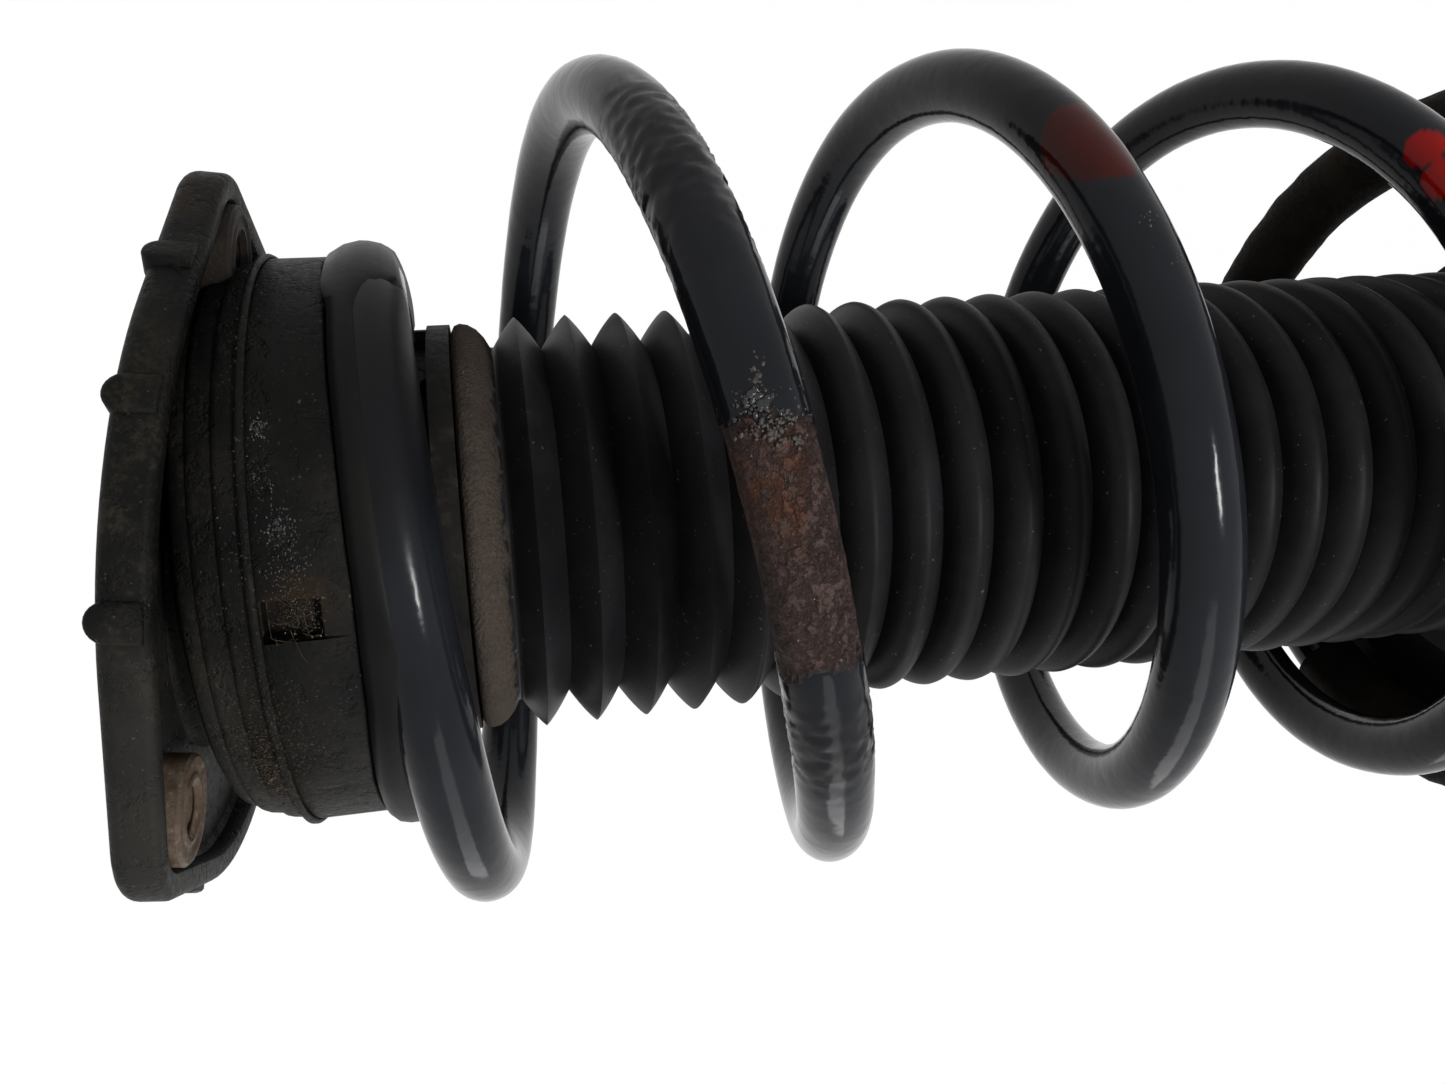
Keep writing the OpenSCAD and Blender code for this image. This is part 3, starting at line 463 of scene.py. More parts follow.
def springPaint(name, look):
    # glossy black paint; masks kept on the wire say where it is rusty, wrinkled or red
    m = Recipe(name, look, 0.2)
    rust, wrinkle, dull, bright = (
        m.add("Attribute", attribute_name=n, attribute_type="GEOMETRY").outputs["Fac"]
        for n in ("rust", "wrinkle", "dullRed", "brightRed"))
    cloud = m.grain(30, 4, 0.6)
    peel = m.grain(260, 2, 0.5)
    fine = m.grain(1500, 4, 0.65)
    base = m.tone(look, cloud)
    base = m.mix(m.times(wrinkle, 0.5), base, look["fold"])
    shade = m.spread(m.grain(90, 3, 0.5, shift=0.2), 0.3, 0.7, 0.75, 1.15)
    red = m.add("VectorMath", {0: look["dullRed"], 1: shade}, operation="SCALE")
    m.give(red.inputs["Scale"], shade)
    base = m.mix(dull, base, red.outputs[0])
    base = m.mix(bright, base, look["brightRed"])
    chips = m.spread(m.grain(420, 6, 0.75, shift=1.1), 0.7, 0.715)
    base = m.mix(m.times(chips, 0.5), base, look["chip"])
    speckle = m.spread(m.grain(2100, 3, 0.6), 0.3, 0.7, -0.1, 0.1)
    scale = m.spread(m.sum(m.grain(210, 8, 0.85), speckle), 0.24, 0.56)
    pits = m.spread(m.grain(620, 5, 0.7, shift=0.35), 0.4, 0.54)
    scale = m.times(scale, m.spread(pits, 0, 1, 0.7, 1))
    metal = m.mix(scale, look["rustDark"], look["rust"])
    # painted shade darkens the upper side of the rust patch
    metal = m.patch(metal, look, "rustShade", 0.55)
    stain = m.blob(*patches["orange"])
    warm = m.times(m.spread(m.grain(330, 5, 0.7, shift=0.5), 0.42, 0.6), stain)
    metal = m.mix(m.times(warm, 0.7), metal, look["orange"])
    sparkle = m.spread(m.grain(1500, 2, 0.5, shift=0.1), 0.745, 0.765)
    metal = m.mix(sparkle, metal, look["flake"])
    base = m.mix(rust, base, metal)
    # painted shade: the wire's upper end is darkened, and made rougher so it reflects less
    upperShade = m.blob(*patches["upperShade"])
    base = m.mix(m.times(upperShade, 0.8), base, look["upperShade"])
    rough = m.spread(cloud, 0.3, 0.7, 0.1, 0.17)
    for mask, rise in ((wrinkle, 0.12), (upperShade, 0.3), (rust, 0.5)):
        rough = m.sum(rough, m.times(mask, rise))
    paintSide = m.sum(1.0, rust, operation="SUBTRACT")
    normal = m.bump(m.times(peel, paintSide), 0.09)
    normal = m.bump(m.times(m.sum(fine, pits), rust), 0.8, normal)
    return m.wear(base, rough, normal)


mountPlastic = mountPlasticFinish("mountPlastic", finishes["plastic"])
blackRubber = satinRubber("blackRubber", finishes["boot"])
bootRubber = bootRubberFinish("bootRubber", finishes["boot"], finishes["tan"])
greyRubber = satinRubber("greyRubber", finishes["grey"])
sleeveRubber = grimyPlastic("sleeveRubber", finishes["sleeve"], 0.7, 0.7)
collarPlastic = grimyPlastic("collarPlastic", finishes["collar"], 0.7, 0.6, 110)
tubePaint = satinPaint("tubePaint", finishes["paint"])
wirePaint = springPaint("wirePaint", finishes["wire"])
zincSteel = bareMetal("zincSteel", (0.45, 0.45, 0.44), 0.4)
polishedSteel = bareMetal("polishedSteel", (0.7, 0.71, 0.73), 0.15)
dullAlloy = bareMetal("dullAlloy", (0.5, 0.51, 0.53), 0.45)
rustySteel = rustFinish("rustySteel", finishes["rusty"])
tarBlack = grimyPlastic("tarBlack", finishes["tar"], 0.2, 0.22, 900)
sandTan = grimyPlastic("sandTan", finishes["sand"], 0.5, 0.8, 600)
scaleGrey = grimyPlastic("scaleGrey", finishes["scale"], 0.5, 0.6, 600)
bumpFoam = grimyPlastic("bumpFoam", finishes["foam"], 0.3, 0.8)
greenPolymer = grimyPlastic("greenPolymer", finishes["polymer"], 0.2, 0.4)
print("finishes mixed")


spring = dict(
    wireRadius=6.0, coilRadius=65.5, endRadius=43.5, tipRadius=42.7, pitch=64.2, bow=7.5,
    sideBow=4.5, lean=3.5, startTurn=-0.948, endTurn=3.65, swingTurn=-0.72, swingSpan=0.32,
    tipDepth=31.0, tipSlope=17.0, kneeDepth=35.7, kneeSlope=21.0, openDepth=67.2,
    flatDrop=35.0, bowStart=-0.45, bowEnd=3.0, sides=48, turnLength=408, endRound=1.2,
    plainStep=0.009, closeStep=0.0016, closeSpans=((0.1, 0.42), (1.11, 1.18), (2.12, 2.17)),
)
halfDepth = spring["openDepth"] + 0.573 * spring["pitch"]
evenDepth = halfDepth + 0.394 * spring["pitch"]
closeDepth = evenDepth + 1.3 * spring["pitch"]
flatDepth = closeDepth + spring["flatDrop"]
wireKnots = (                                 # turn, depth, slope
    (-1.0, spring["tipDepth"], spring["tipSlope"]),
    (-0.75, spring["kneeDepth"], spring["kneeSlope"]),
    (0.0, spring["openDepth"], 0.81 * spring["pitch"]),
    (0.5, halfDepth, 1.05 * spring["pitch"]),
    (1.0, evenDepth, spring["pitch"]),
    (2.3, closeDepth, spring["pitch"]),
    (3.3, flatDepth, 0.0),
)


def wireDepth(t):
    if t < wireKnots[0][0]:
        return spring["tipDepth"] + spring["tipSlope"] * (t - wireKnots[0][0])
    for (t0, d0, m0), (t1, d1, m1) in zip(wireKnots, wireKnots[1:]):
        if t < t1:
            h = t1 - t0
            u = (t - t0) / h
            return (d0 * (1 + 2 * u) * (1 - u) ** 2 + h * m0 * u * (1 - u) ** 2
                    + d1 * u * u * (3 - 2 * u) + h * m1 * u * u * (u - 1))
    return flatDepth


def coilRadiusAt(t):
    s = spring
    start = between(s["tipRadius"], s["endRadius"], smooth((t + 1) / 0.25))
    return between(start, s["coilRadius"], smooth((t - s["swingTurn"]) / s["swingSpan"]))


def wirePoint(t):
    s = spring
    u = max(0.0, min(1.0, (t - s["bowStart"]) / (s["bowEnd"] - s["bowStart"])))
    share = 1 - (2 * u - 1) ** 4
    r, a = coilRadiusAt(t), turnRadians * t
    return Vector((r * math.cos(a) + s["bow"] * share,
                   -r * math.sin(a) + s["sideBow"] * share - s["lean"] * math.sin(turnRadians * u),
                   -wireDepth(t)))


def wireFrame(t):
    along = (wirePoint(t + 0.002) - wirePoint(t - 0.002)).normalized()
    out = Vector((math.cos(turnRadians * t), -math.sin(turnRadians * t), 0))
    across = (out - along * out.dot(along)).normalized()
    return wirePoint(t), across, along.cross(across), along


def wireStations(start, end):
    # turns of the rings, closer together where the paint is broken or marked
    s = spring
    out = [start]
    while out[-1] < end:
        t = out[-1]
        close = any(a < t < b for a, b in s["closeSpans"])
        out.append(min(end, t + s["closeStep" if close else "plainStep"]))
    return out


marks = dict(
    rustFrom=0.238, rustTo=0.312, rustDepth=0.28, rustEdge=0.0007, ragged=0.006,
    wrinkles=((0.14, 0.075), (0.345, 0.035)),             # turn and half length
    dullRed=((50.0, -53.3, -136.9), 7.1, 5.2, 43.5),      # middle, reach in x and z, least x
    brightRed=((49.8, -47.0, -198.2), (44.2, -49.6, -198.9)), discRadius=3.2,
)


def roughNoise(p, scale, octaves=4):
    return noise.fractal(p * scale, 1.0, 2.1, octaves)


def wireMasks(t, a, p):
    # how far a point of the wire is rusty, wrinkled, dull red and bright red, each 0 to 1
    m = marks
    degrees = math.degrees(a)
    if degrees > 180:
        degrees -= 360
    jag = m["ragged"] * (roughNoise(p, 0.35, 5) + 0.6 * roughNoise(p + Vector((9, 4, 2)), 1.1, 3))
    first = m["rustFrom"] - 0.00005 * degrees + jag
    last = m["rustTo"] + 0.9 * jag
    rust = smooth((t - first) / m["rustEdge"]) * smooth((last - t) / m["rustEdge"])
    wrinkle = max(smooth(1 - abs(t - place) / half) for place, half in m["wrinkles"])

    middle, tall, wide, floor = m["dullRed"]
    gap = p - Vector(middle)
    power = 2.0 if gap.z > 0 else 5.0
    far = (abs(gap.x / tall) ** power + abs(gap.z / wide) ** power) ** (1 / power)
    dull = smooth((1 - far) / 0.06) * smooth((p.x - floor) / 0.3) * (gap.y < 6)
    discs = [smooth((m["discRadius"] - (p - Vector(q)).length) / 0.25) for q in m["brightRed"]]
    bright = max(discs) - 0.35 * min(discs)
    return rust, wrinkle * (1 - rust), dull, bright


def buildSpring():
    s = spring
    rings, masks = [], []
    for t in wireStations(s["startTurn"], s["endTurn"]):
        middle, across, up, _ = wireFrame(t)
        end = min(t - s["startTurn"], s["endTurn"] - t) * s["turnLength"]
        ring = []
        for i in range(s["sides"]):
            a = turnRadians * i / s["sides"]
            way = math.cos(a) * across + math.sin(a) * up
            p = middle + s["wireRadius"] * way
            rust, wrinkle, dull, bright = wireMasks(t, a, p)
            r = s["wireRadius"] - 0.05 + 0.06 * roughNoise(p, 0.12, 2)
            r -= rust * (marks["rustDepth"] - 0.14 * roughNoise(p, 0.9, 4))
            if wrinkle > 0:
                fold = abs(roughNoise(Vector((p.x, p.y, p.z * 0.6)), 0.42, 3))
                r += wrinkle * (0.18 - 0.75 * min(0.5, fold))
            if end < s["endRound"]:           # soft edge at the cut ends
                r -= 0.8 * (1 - end / s["endRound"]) ** 2
            ring.append(middle + r * way)
            masks.append((rust, wrinkle, dull, bright))
        rings.append(ring)
    piece = newPiece("springWire", Shape().skin(rings, caps=True), wirePaint, "upper_seat",
                     sharp=60)
    for k, name in enumerate(("rust", "wrinkle", "dullRed", "brightRed")):
        layer = piece.data.attributes.new(name, "FLOAT", "POINT")
        layer.data.foreach_set("value", [m[k] for m in masks])
    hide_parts("coil_spring")
    return piece


def shorten(piece):
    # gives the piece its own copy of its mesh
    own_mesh(piece)


shorten(buildSpring())
print("spring wound")


sleeve = dict(first=2.72, last=3.61, bore=6.3, outer=7.8, sides=32, steps=150)


def buildSleeve():
    v = sleeve
    outer, inner = [], []
    for k in range(v["steps"] + 1):
        middle, across, up, _ = wireFrame(between(v["first"], v["last"], k / v["steps"]))

        def coat(a):
            p = middle + Vector((math.cos(a), math.sin(a), 0)) * 6
            return v["outer"] - 0.35 + 0.3 * roughNoise(p, 0.25, 4)

        outer.append(circle(middle, across, up, coat, v["sides"]))
        inner.append(circle(middle, across, up, v["bore"], v["sides"]))
    along = wireFrame(v["first"])[3]
    for i in range(v["sides"]):               # torn rim where the sleeve starts
        tear = along * 2.6 * roughNoise(Vector((i * 0.31, 0.4, 2.0)), 1.0, 4)
        outer[0][i] += tear
        inner[0][i] += tear
    piece = newPiece("springSleeve", Shape().skin(outer + inner[::-1], joined=True), sleeveRubber,
                     "upper_seat", sharp=45)
    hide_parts("spring_sleeve")
    return piece


shorten(buildSleeve())
print("sleeve pulled on")


boot = dict(
    wall=1.8, top=44.3, end=256.74, cuffRadius=27.3, cuff=8.0, beadRadius=35.1,
    firstPeak=54.85, pitch=8.7, peaks=22, peakRadius=35.65, lowRadius=36.6, sides=200,
    pleats=((0, 5.7), (3, 5.5), (5, 4.7), (23, 4.4)),     # count from the top, depth
)


def bootProfile(inset):
    # outer line of the boot from the bead to the cuff, drawn in by inset
    b = boot
    bead, d, cuff = b["beadRadius"], b["top"], b["cuffRadius"] + b["wall"]
    points = [(31.55, d), (bead - 1.3, d), (bead - 0.35, d + 0.5), (bead, d + 1.4),
              (bead - 0.25, d + 2.7), (bead - 1.1, d + 4.1), (bead - 2.5, d + 5.3),
              (bead - 4.2, d + 6.2)]
    for k in range(b["peaks"]):
        top = between(b["peakRadius"], b["lowRadius"], smooth((k - 4) / 12))
        sharpness = between(1.25, 2.3, smooth((k - 3) / 5))
        for n in range(1, 17):
            u = n / 16
            deep = alongKnots(b["pleats"], k + u - 0.5)
            side = abs(2 * u - 1)
            r = top - deep * (side ** sharpness - 0.12 * max(0.0, 0.2 - side))
            points.append((r, b["firstPeak"] + b["pitch"] * (k + u - 0.5)))
    cuffTop = b["end"] - b["cuff"]
    points += [(b["lowRadius"] - 1.4, cuffTop - 1.6), (cuff + 1, cuffTop),
               (cuff, cuffTop + 1.2), (cuff, b["end"])]
    return [(r - inset, d) for r, d in points]


def buildBoot():
    outer, inner = bootProfile(0), bootProfile(boot["wall"])
    shape = lathe(outer + inner[::-1], boot["sides"])
    piece = newPiece("dustBoot", shape, bootRubber, "upper_seat", sharp=70)
    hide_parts("dust_boot")
    return piece


shorten(buildBoot())
print("boot pleated")


mount = dict(
    tilt=7.0, flangeRadius=54.3, boltCircle=48.5, lobeRadius=12.5, lobeAngle=-17.0, plate=3.0,
    skirt=6.8, wall=4.0, bore=24.5, topRound=2.4, faceRise=0.1, lipRound=1.4, nubs=(-80, -49, -22),
    nubWidth=5.6, nubRise=0.9, insertRadius=8.0, insertLength=8.0, boreRadius=3.45,
)
onFlange = Matrix.Rotation(math.radians(mount["tilt"]), 4, "Y")


def moulding(name, shape, sharp, body="top_mount"):
    return newPiece(name, shape, mountPlastic, body, sharp=sharp)


def flangeLoop(inset, z):
    # three-lobed outline drawn in by inset, with the same points at any inset
    m = mount
    big, small = m["flangeRadius"] - inset, m["lobeRadius"] - inset
    lean = math.acos((m["flangeRadius"] - m["lobeRadius"]) / m["boltCircle"])
    loop = []
    for k in range(3):
        turn = math.radians(m["lobeAngle"] + 120 * k)

        def spot(normal, radius, away):
            x = away + radius * math.cos(normal)
            y = radius * math.sin(normal)
            return (x * math.cos(turn) - y * math.sin(turn),
                    x * math.sin(turn) + y * math.cos(turn), z)

        third = turnRadians / 6
        loop += [spot(between(-third, -lean, i / 8), big, 0) for i in range(1, 9)]
        a, b = Vector(spot(-lean, big, 0)), Vector(spot(-lean, small, m["boltCircle"]))
        loop += [tuple(a.lerp(b, i / 6)) for i in range(1, 6)]
        loop += [spot(between(-lean, lean, i / 24), small, m["boltCircle"]) for i in range(25)]
        a, b = Vector(spot(lean, small, m["boltCircle"])), Vector(spot(lean, big, 0))
        loop += [tuple(a.lerp(b, i / 6)) for i in range(1, 6)]
        loop += [spot(between(lean, third, i / 8), big, 0) for i in range(9)]
    return loop


def roundLoops(radius, z, toSide):
    # inset and height of the loops of a rounded edge, from the flat face to the side or back
    steps = 6
    out = []
    for k in range(steps + 1):
        a = math.pi / 2 * k / steps
        out.append((radius * (1 - math.sin(a)), z - radius * (1 - math.cos(a))))
    return out if toSide else out[::-1]


def nubShape(angle, radius):
    # rib down the skirt with a round top that stands above the flange face
    m = mount
    half = m["nubWidth"] / 2
    rings = []
    for r, inset in ((radius - 3, 0), (radius + 0.1, 0), (radius + 0.5, 0.25),
                     (radius + 0.75, 0.8), (radius + 0.8, 1.8)):
        w = half - inset
        low, high = -m["skirt"] + 0.7 + inset, m["nubRise"] - half
        loop = [(r, -w, low), (r, w, low)]
        loop += [(r, w * math.cos(math.pi * i / 12), high + w * math.sin(math.pi * i / 12))
                 for i in range(13)]
        rings.append(loop)
    return Shape().skin(rings, caps=True).placed(Matrix.Rotation(angle, 4, "Z"))


def lobeCentre(k):
    # middle of a lobe and of its threaded boss
    turn = math.radians(mount["lobeAngle"] + 120 * k)
    return Vector((mount["boltCircle"] * math.cos(turn), mount["boltCircle"] * math.sin(turn), 0))


def buildFlange():
    m = mount
    angles = [math.atan2(p[1], p[0]) for p in flangeLoop(0, 0)]

    def boreLoop(r, z):
        return [(r * math.cos(a), r * math.sin(a), z) for a in angles]

    face = m["faceRise"]
    rings = [boreLoop(m["bore"], -m["plate"]), boreLoop(m["bore"], face - 0.5),
             boreLoop(m["bore"] + 0.5, face)]
    rings += [flangeLoop(inset, z) for inset, z in roundLoops(m["topRound"], face, True)]
    low = m["skirt"]
    rings += [flangeLoop(0, -low + m["lipRound"])]
    rings += [flangeLoop(i, -low - z) for i, z in roundLoops(m["lipRound"], 0, False)[1:]]
    rings += [flangeLoop(m["wall"] + inset, z) for inset, z in (
        (-0.9, -low), (-0.3, -low + 0.25), (0, -low + 0.9), (0.1, -m["plate"] - 0.8),
        (0.9, -m["plate"]))]
    shape = Shape().skin(rings, joined=True)
    lean = math.degrees(math.acos((m["flangeRadius"] - m["lobeRadius"]) / m["boltCircle"]))
    holes, nubs = Shape(), Shape()
    for k in range(3):
        for a in m["nubs"]:
            away = m["flangeRadius"]
            if abs(a) < lean:
                away /= math.cos(math.radians(lean - abs(a)))
            nubs.join(nubShape(math.radians(m["lobeAngle"] + 120 * k + a), away))
        ring = [(m["insertRadius"] + 0.05) * Vector((math.cos(a), math.sin(a), 0))
                for a in (turnRadians * i / 64 for i in range(64))]
        holes.skin([[lobeCentre(k) + p + Vector((0, 0, z)) for p in ring] for z in (-12, 12)],
                   caps=True)
    piece = moulding("mountFlange", shape.placed(onFlange), 40)
    carve(piece, newPiece("holeCutter", holes.placed(onFlange), mountPlastic, None), 40)
    moulding("flangeNubs", nubs.placed(onFlange), 40)
    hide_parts("mount_flange")
    print("flange moulded with", len(angles), "points round it")


def buildInserts():
    # threaded steel bosses with a chamfered mouth, a raised rim and an M8 thread
    m = mount
    shape = Shape()
    low, outer, bore = m["insertLength"], m["insertRadius"], m["boreRadius"]
    profile = [(bore + 0.9, 0), (outer - 0.4, 0), (outer, 0.4), (outer, low - 0.6),
               (outer - 0.5, low - 0.05), (outer - 1.2, low), (outer - 1.8, low - 0.3),
               (bore + 1.9, low - 0.3), (bore + 1.6, low - 0.05), (bore + 1.0, low)]
    pitch = 1.25                              # M8 thread
    for k in range(int((low - 1.6) / pitch)):
        d = low - 0.7 - pitch * k
        profile += [(bore, d), (bore, d - 0.16), (bore + 0.6, d - 0.55), (bore + 0.6, d - 0.7),
                    (bore, d - 1.09)]
    profile.append((bore, 0.7))
    for k in range(3):
        shape.join(lathe(profile, 72).placed(Matrix.Translation(lobeCentre(k))))
    piece = newPiece("insertBosses", shape.placed(onFlange), rustySteel, "top_mount", sharp=32)
    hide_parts("threaded_inserts")


def buildHousingShell():
    # moulded bands and the lip of the fixed half, laid over the plain housing
    profile = [(40.8, 6.1), (41.6, 6.05), (43.2, 6.9), (43.9, 8.3), (44.0, 8.9), (44.6, 9.2),
               (44.95, 10.0), (45.25, 12.0), (45.3, 12.5), (45.85, 12.75), (46.05, 13.4),
               (46.3, 15.2), (46.35, 15.7), (47.1, 15.85), (47.5, 16.15), (47.55, 16.7),
               (47.3, 17.15), (46.95, 17.2), (46.95, 16.35), (45.4, 16.05), (44.0, 12.2),
               (42.0, 7.6)]
    moulding("housingShell", lathe(profile, 256), 50)


seat = dict(
    bore=28.0, outer=46.75, top=16.6, raceIn=29.45, raceOut=37.55, raceEnd=21.3, face=28.2,
    notchAngle=-101.5, notchWidth=5.6, notchDepth=3.0, notchTop=17.6, notchLength=7.5,
    rim=((0, 26.0), (90, 27.6), (180, 28.2), (220, 28.2), (242, 29.2), (263, 29.3), (275, 28.9),
         (290, 28.4), (300, 27.9), (320, 27.3), (334, 26.2), (360, 26.0)),    # angle, depth
)


def rimDepth(angle):
    return alongKnots(seat["rim"], math.degrees(angle) % 360)


def buildSeat():
    # turning half: its lower rim is deeper on the near side, as the wire's end ramps down
    s = seat
    outer = s["outer"]

    def section(angle):
        t = -1 - math.degrees(angle) / 360 if angle < math.pi else -math.degrees(angle) / 360
        edge = rimDepth(angle)
        face = min(s["face"], edge - 0.2)
        if -1.06 < t < -0.6:                  # the seat leaves room for the wire
            face = min(face, wireDepth(max(t, -0.96)) - 6.6)
        return [(s["bore"], s["top"]), (s["raceIn"], s["top"]), (s["raceIn"], s["raceEnd"]),
                (s["raceOut"], s["raceEnd"]), (s["raceOut"], s["top"]), (outer - 0.5, s["top"]),
                (outer, s["top"] + 0.7), (outer, edge - 0.5), (outer - 0.15, edge - 0.12),
                (outer - 0.5, edge), (45.9, edge), (45.4, face), (s["bore"], face)]

    piece = moulding("upperSeat", lathe(section, 288), 40, "upper_seat")
    w, top = s["notchWidth"] / 2, -s["notchTop"]
    low = top - s["notchLength"]
    box = [[(x, -w, top), (x, w, top), (x, w, low), (x, -w, low)]
           for x in (outer - s["notchDepth"], 60)]
    turn = Matrix.Rotation(math.radians(s["notchAngle"]), 4, "Z")
    cutter = Shape().skin(box, caps=True).placed(turn)
    carve(piece, newPiece("notchCutter", cutter, mountPlastic, None), 40)
    softEdges(piece, 0.35, 40)
    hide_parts("upper_spring_seat")


insulator = dict(
    start=-1.06, steps=240, bore=32.0, gutter=6.35, plainRim=46.1, fullRim=49.2, foot=37.5,
)


def buildInsulator():
    # rubber that caps the wire's end, wraps its upper side and lets go where it swings out
    n = insulator
    bore = n["bore"]
    rings = []
    for k in range(n["steps"]):
        t = n["start"] + k / n["steps"]
        angle = -turnRadians * t
        edge = rimDepth(angle)
        wide, d = coilRadiusAt(max(t, -0.95)), wireDepth(max(t, -0.96))
        cap = smooth((-0.868 - t) / 0.035) * smooth((t + 1.058) / 0.03)
        hold = 1 - smooth((t + 0.72) / 0.1)
        bulge = smooth((t + 1.055) / 0.04) * (1 - smooth((t + 0.42) / 0.1))
        rim = between(n["plainRim"], n["fullRim"], bulge)
        lip = between(33.0, between(35.6, d - 1.5, hold), bulge)
        sag = max(0.0, d - 31.4)
        c = min(wide, rim - 7.6)
        top = [(bore, min(28.3, edge)), (45.0, min(28.3, edge)), (46.0, edge + 0.05)]
        plain = top + [(rim - 1.4, edge + 0.5), (rim - 0.35, edge + 1.7), (rim, edge + 3.2),
                       (rim, max(edge + 3.4, lip - 1.1)),
                       (rim - 0.25, max(edge + 3.6, lip - 0.35)),
                       (rim - 0.8, max(edge + 3.8, lip))]
        dome = top + [(rim - 1.7, 26.6), (rim - 0.5, 28.75), (rim, 31.0 + 0.4 * sag),
                      (rim - 0.1, 32.3 + 0.7 * sag), (rim - 0.55, 34.0 + sag),
                      (rim - 1.2, 35.1 + sag)]
        for i in range(13):
            u, a = i / 12, math.pi * i / 12
            plain.append((max(c + n["gutter"] * math.cos(a), 35.2),
                          min(d - n["gutter"] * math.sin(a), lip, 36.9)))
            dome.append((between(rim - 1.8, 36.8, u),
                         n["foot"] + 1.2 * sag - 1.7 * (1 - u) ** 3))
        plain += [(35.2, min(lip, 37.2)), (bore, min(lip, 37.2))]
        dome += [(35.6, n["foot"]), (bore, n["foot"])]
        rings.append([polar(between(a[0], b[0], cap), angle, between(a[1], b[1], cap))
                      for a, b in zip(plain, dome)])
    piece = newPiece("insulator", Shape().skin(rings, joined=True), greyRubber, "upper_seat",
                     sharp=50)
    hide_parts("spring_insulator")


buildFlange()
buildInserts()
buildHousingShell()
buildSeat()
buildInsulator()
print("top mount built")


def pebble(shape, place, normal, size, dice):
    # small lump half sunk in the surface
    side = normal.orthogonal().normalized()
    side = Matrix.Rotation(dice.random() * turnRadians, 3, normal) @ side
    other = normal.cross(side)
    rings = []
    for lift, wide in ((-0.5, 0.75), (0.0, 1.0), (0.45, 0.7)):
        ring = []
        for i in range(6):
            a = turnRadians * i / 6
            r = size * wide * (0.7 + 0.5 * dice.random())
            ring.append(place + r * math.cos(a) * side + 0.7 * r * math.sin(a) * other
                        + size * lift * normal)
        rings.append(ring)
    shape.skin(rings, caps=True)


def onSeat(angle, depth, radius):
    a = math.radians(angle)
    way = Vector((math.cos(a), math.sin(a), 0))
    return way * radius + Vector((0, 0, -depth)), way


grit = dict(
    # angle, depth, spread round and down, count, least and largest size
    seed=11,
    tar=((-69, 18.9, 2.0, 1.4, 60, 0.14, 0.42), (-86, 20.8, 2.6, 1.8, 120, 0.12, 0.36),
         (-93, 22.0, 4.8, 2.4, 210, 0.08, 0.26), (-78, 19.0, 5, 1.6, 80, 0.08, 0.24),
         (-101, 22.6, 3.4, 2.4, 110, 0.1, 0.3)),
    seatSand=((-97, 21.5, 7, 3.5, 170, 0.08, 0.2), (-118, 22.5, 12, 4.5, 70, 0.08, 0.18)),
    housingSand=((-134, 14.6, 9, 2.4, 260, 0.1, 0.27), (-60, 16.0, 20, 1.6, 90, 0.08, 0.2),
                 (-100, 15.0, 18, 2.0, 110, 0.08, 0.2)),
)


def seatRadius(depth):
    if depth < 15.8:
        return 46.3
    return 47.45 if depth < 17.25 else 46.7


def buildGrit():
    g = grit
    dice = random.Random(g["seed"])
    for name, material, body, spots, first, last in (
            ("tarLumps", tarBlack, "upper_seat", g["tar"], 17.4, 25.5),
            ("seatSand", sandTan, "upper_seat", g["seatSand"], 17.5, 26),
            ("housingSand", sandTan, "top_mount", g["housingSand"], 12.6, 17.1)):
        shape = Shape()
        for angle, depth, wide, tall, count, low, high in spots:
            for _ in range(count):
                a = angle + wide * dice.gauss(0, 0.6)
                d = min(last, max(first, depth + tall * dice.gauss(0, 0.6)))
                place, way = onSeat(a, d, seatRadius(d))
                pebble(shape, place, way, between(low, high, dice.random() ** 2), dice)
        newPiece(name, shape, material, body)
    print("grit on the seat")


def strand(shape, points, radius):
    # fine fibre through the points
    rings = []
    for i, p in enumerate(points):
        ahead = (points[min(i + 1, len(points) - 1)] - points[max(i - 1, 0)]).normalized()
        side = ahead.orthogonal().normalized()
        rings.append(circle(p, side, ahead.cross(side), radius, 5))
    shape.skin(rings, caps=True)


fibres = dict(
    seed=5, count=22, steps=8, radius=0.045, seatRadius=46.75, least=18.4, most=25,
    angle=-101.5, angleSpread=2.4, depth=21.5, depthSpread=2.2, drift=0.9, sink=0.45, bow=0.8,
)


def buildFibres():
    # dry plant fibres caught round the notch
    f = fibres
    dice = random.Random(f["seed"])
    shape = Shape()
    for _ in range(f["count"]):
        angle = f["angle"] + dice.gauss(0, f["angleSpread"])
        depth = f["depth"] + dice.gauss(0, f["depthSpread"])
        drift, sink, bow = (dice.gauss(0, f[name]) for name in ("drift", "sink", "bow"))
        points = []
        for i in range(f["steps"] + 1):
            u = i / f["steps"]
            arch = math.sin(math.pi * u)
            d = min(f["most"], max(f["least"], depth + sink * (u - 0.5) * 4))
            place, _ = onSeat(angle + drift * (u - 0.5) * 3 + bow * arch, d,
                              f["seatRadius"] + 0.4 * arch * dice.random())
            points.append(place)
        strand(shape, points, f["radius"])
    newPiece("dryFibres", shape, sandTan, "upper_seat")
    print("fibres laid")


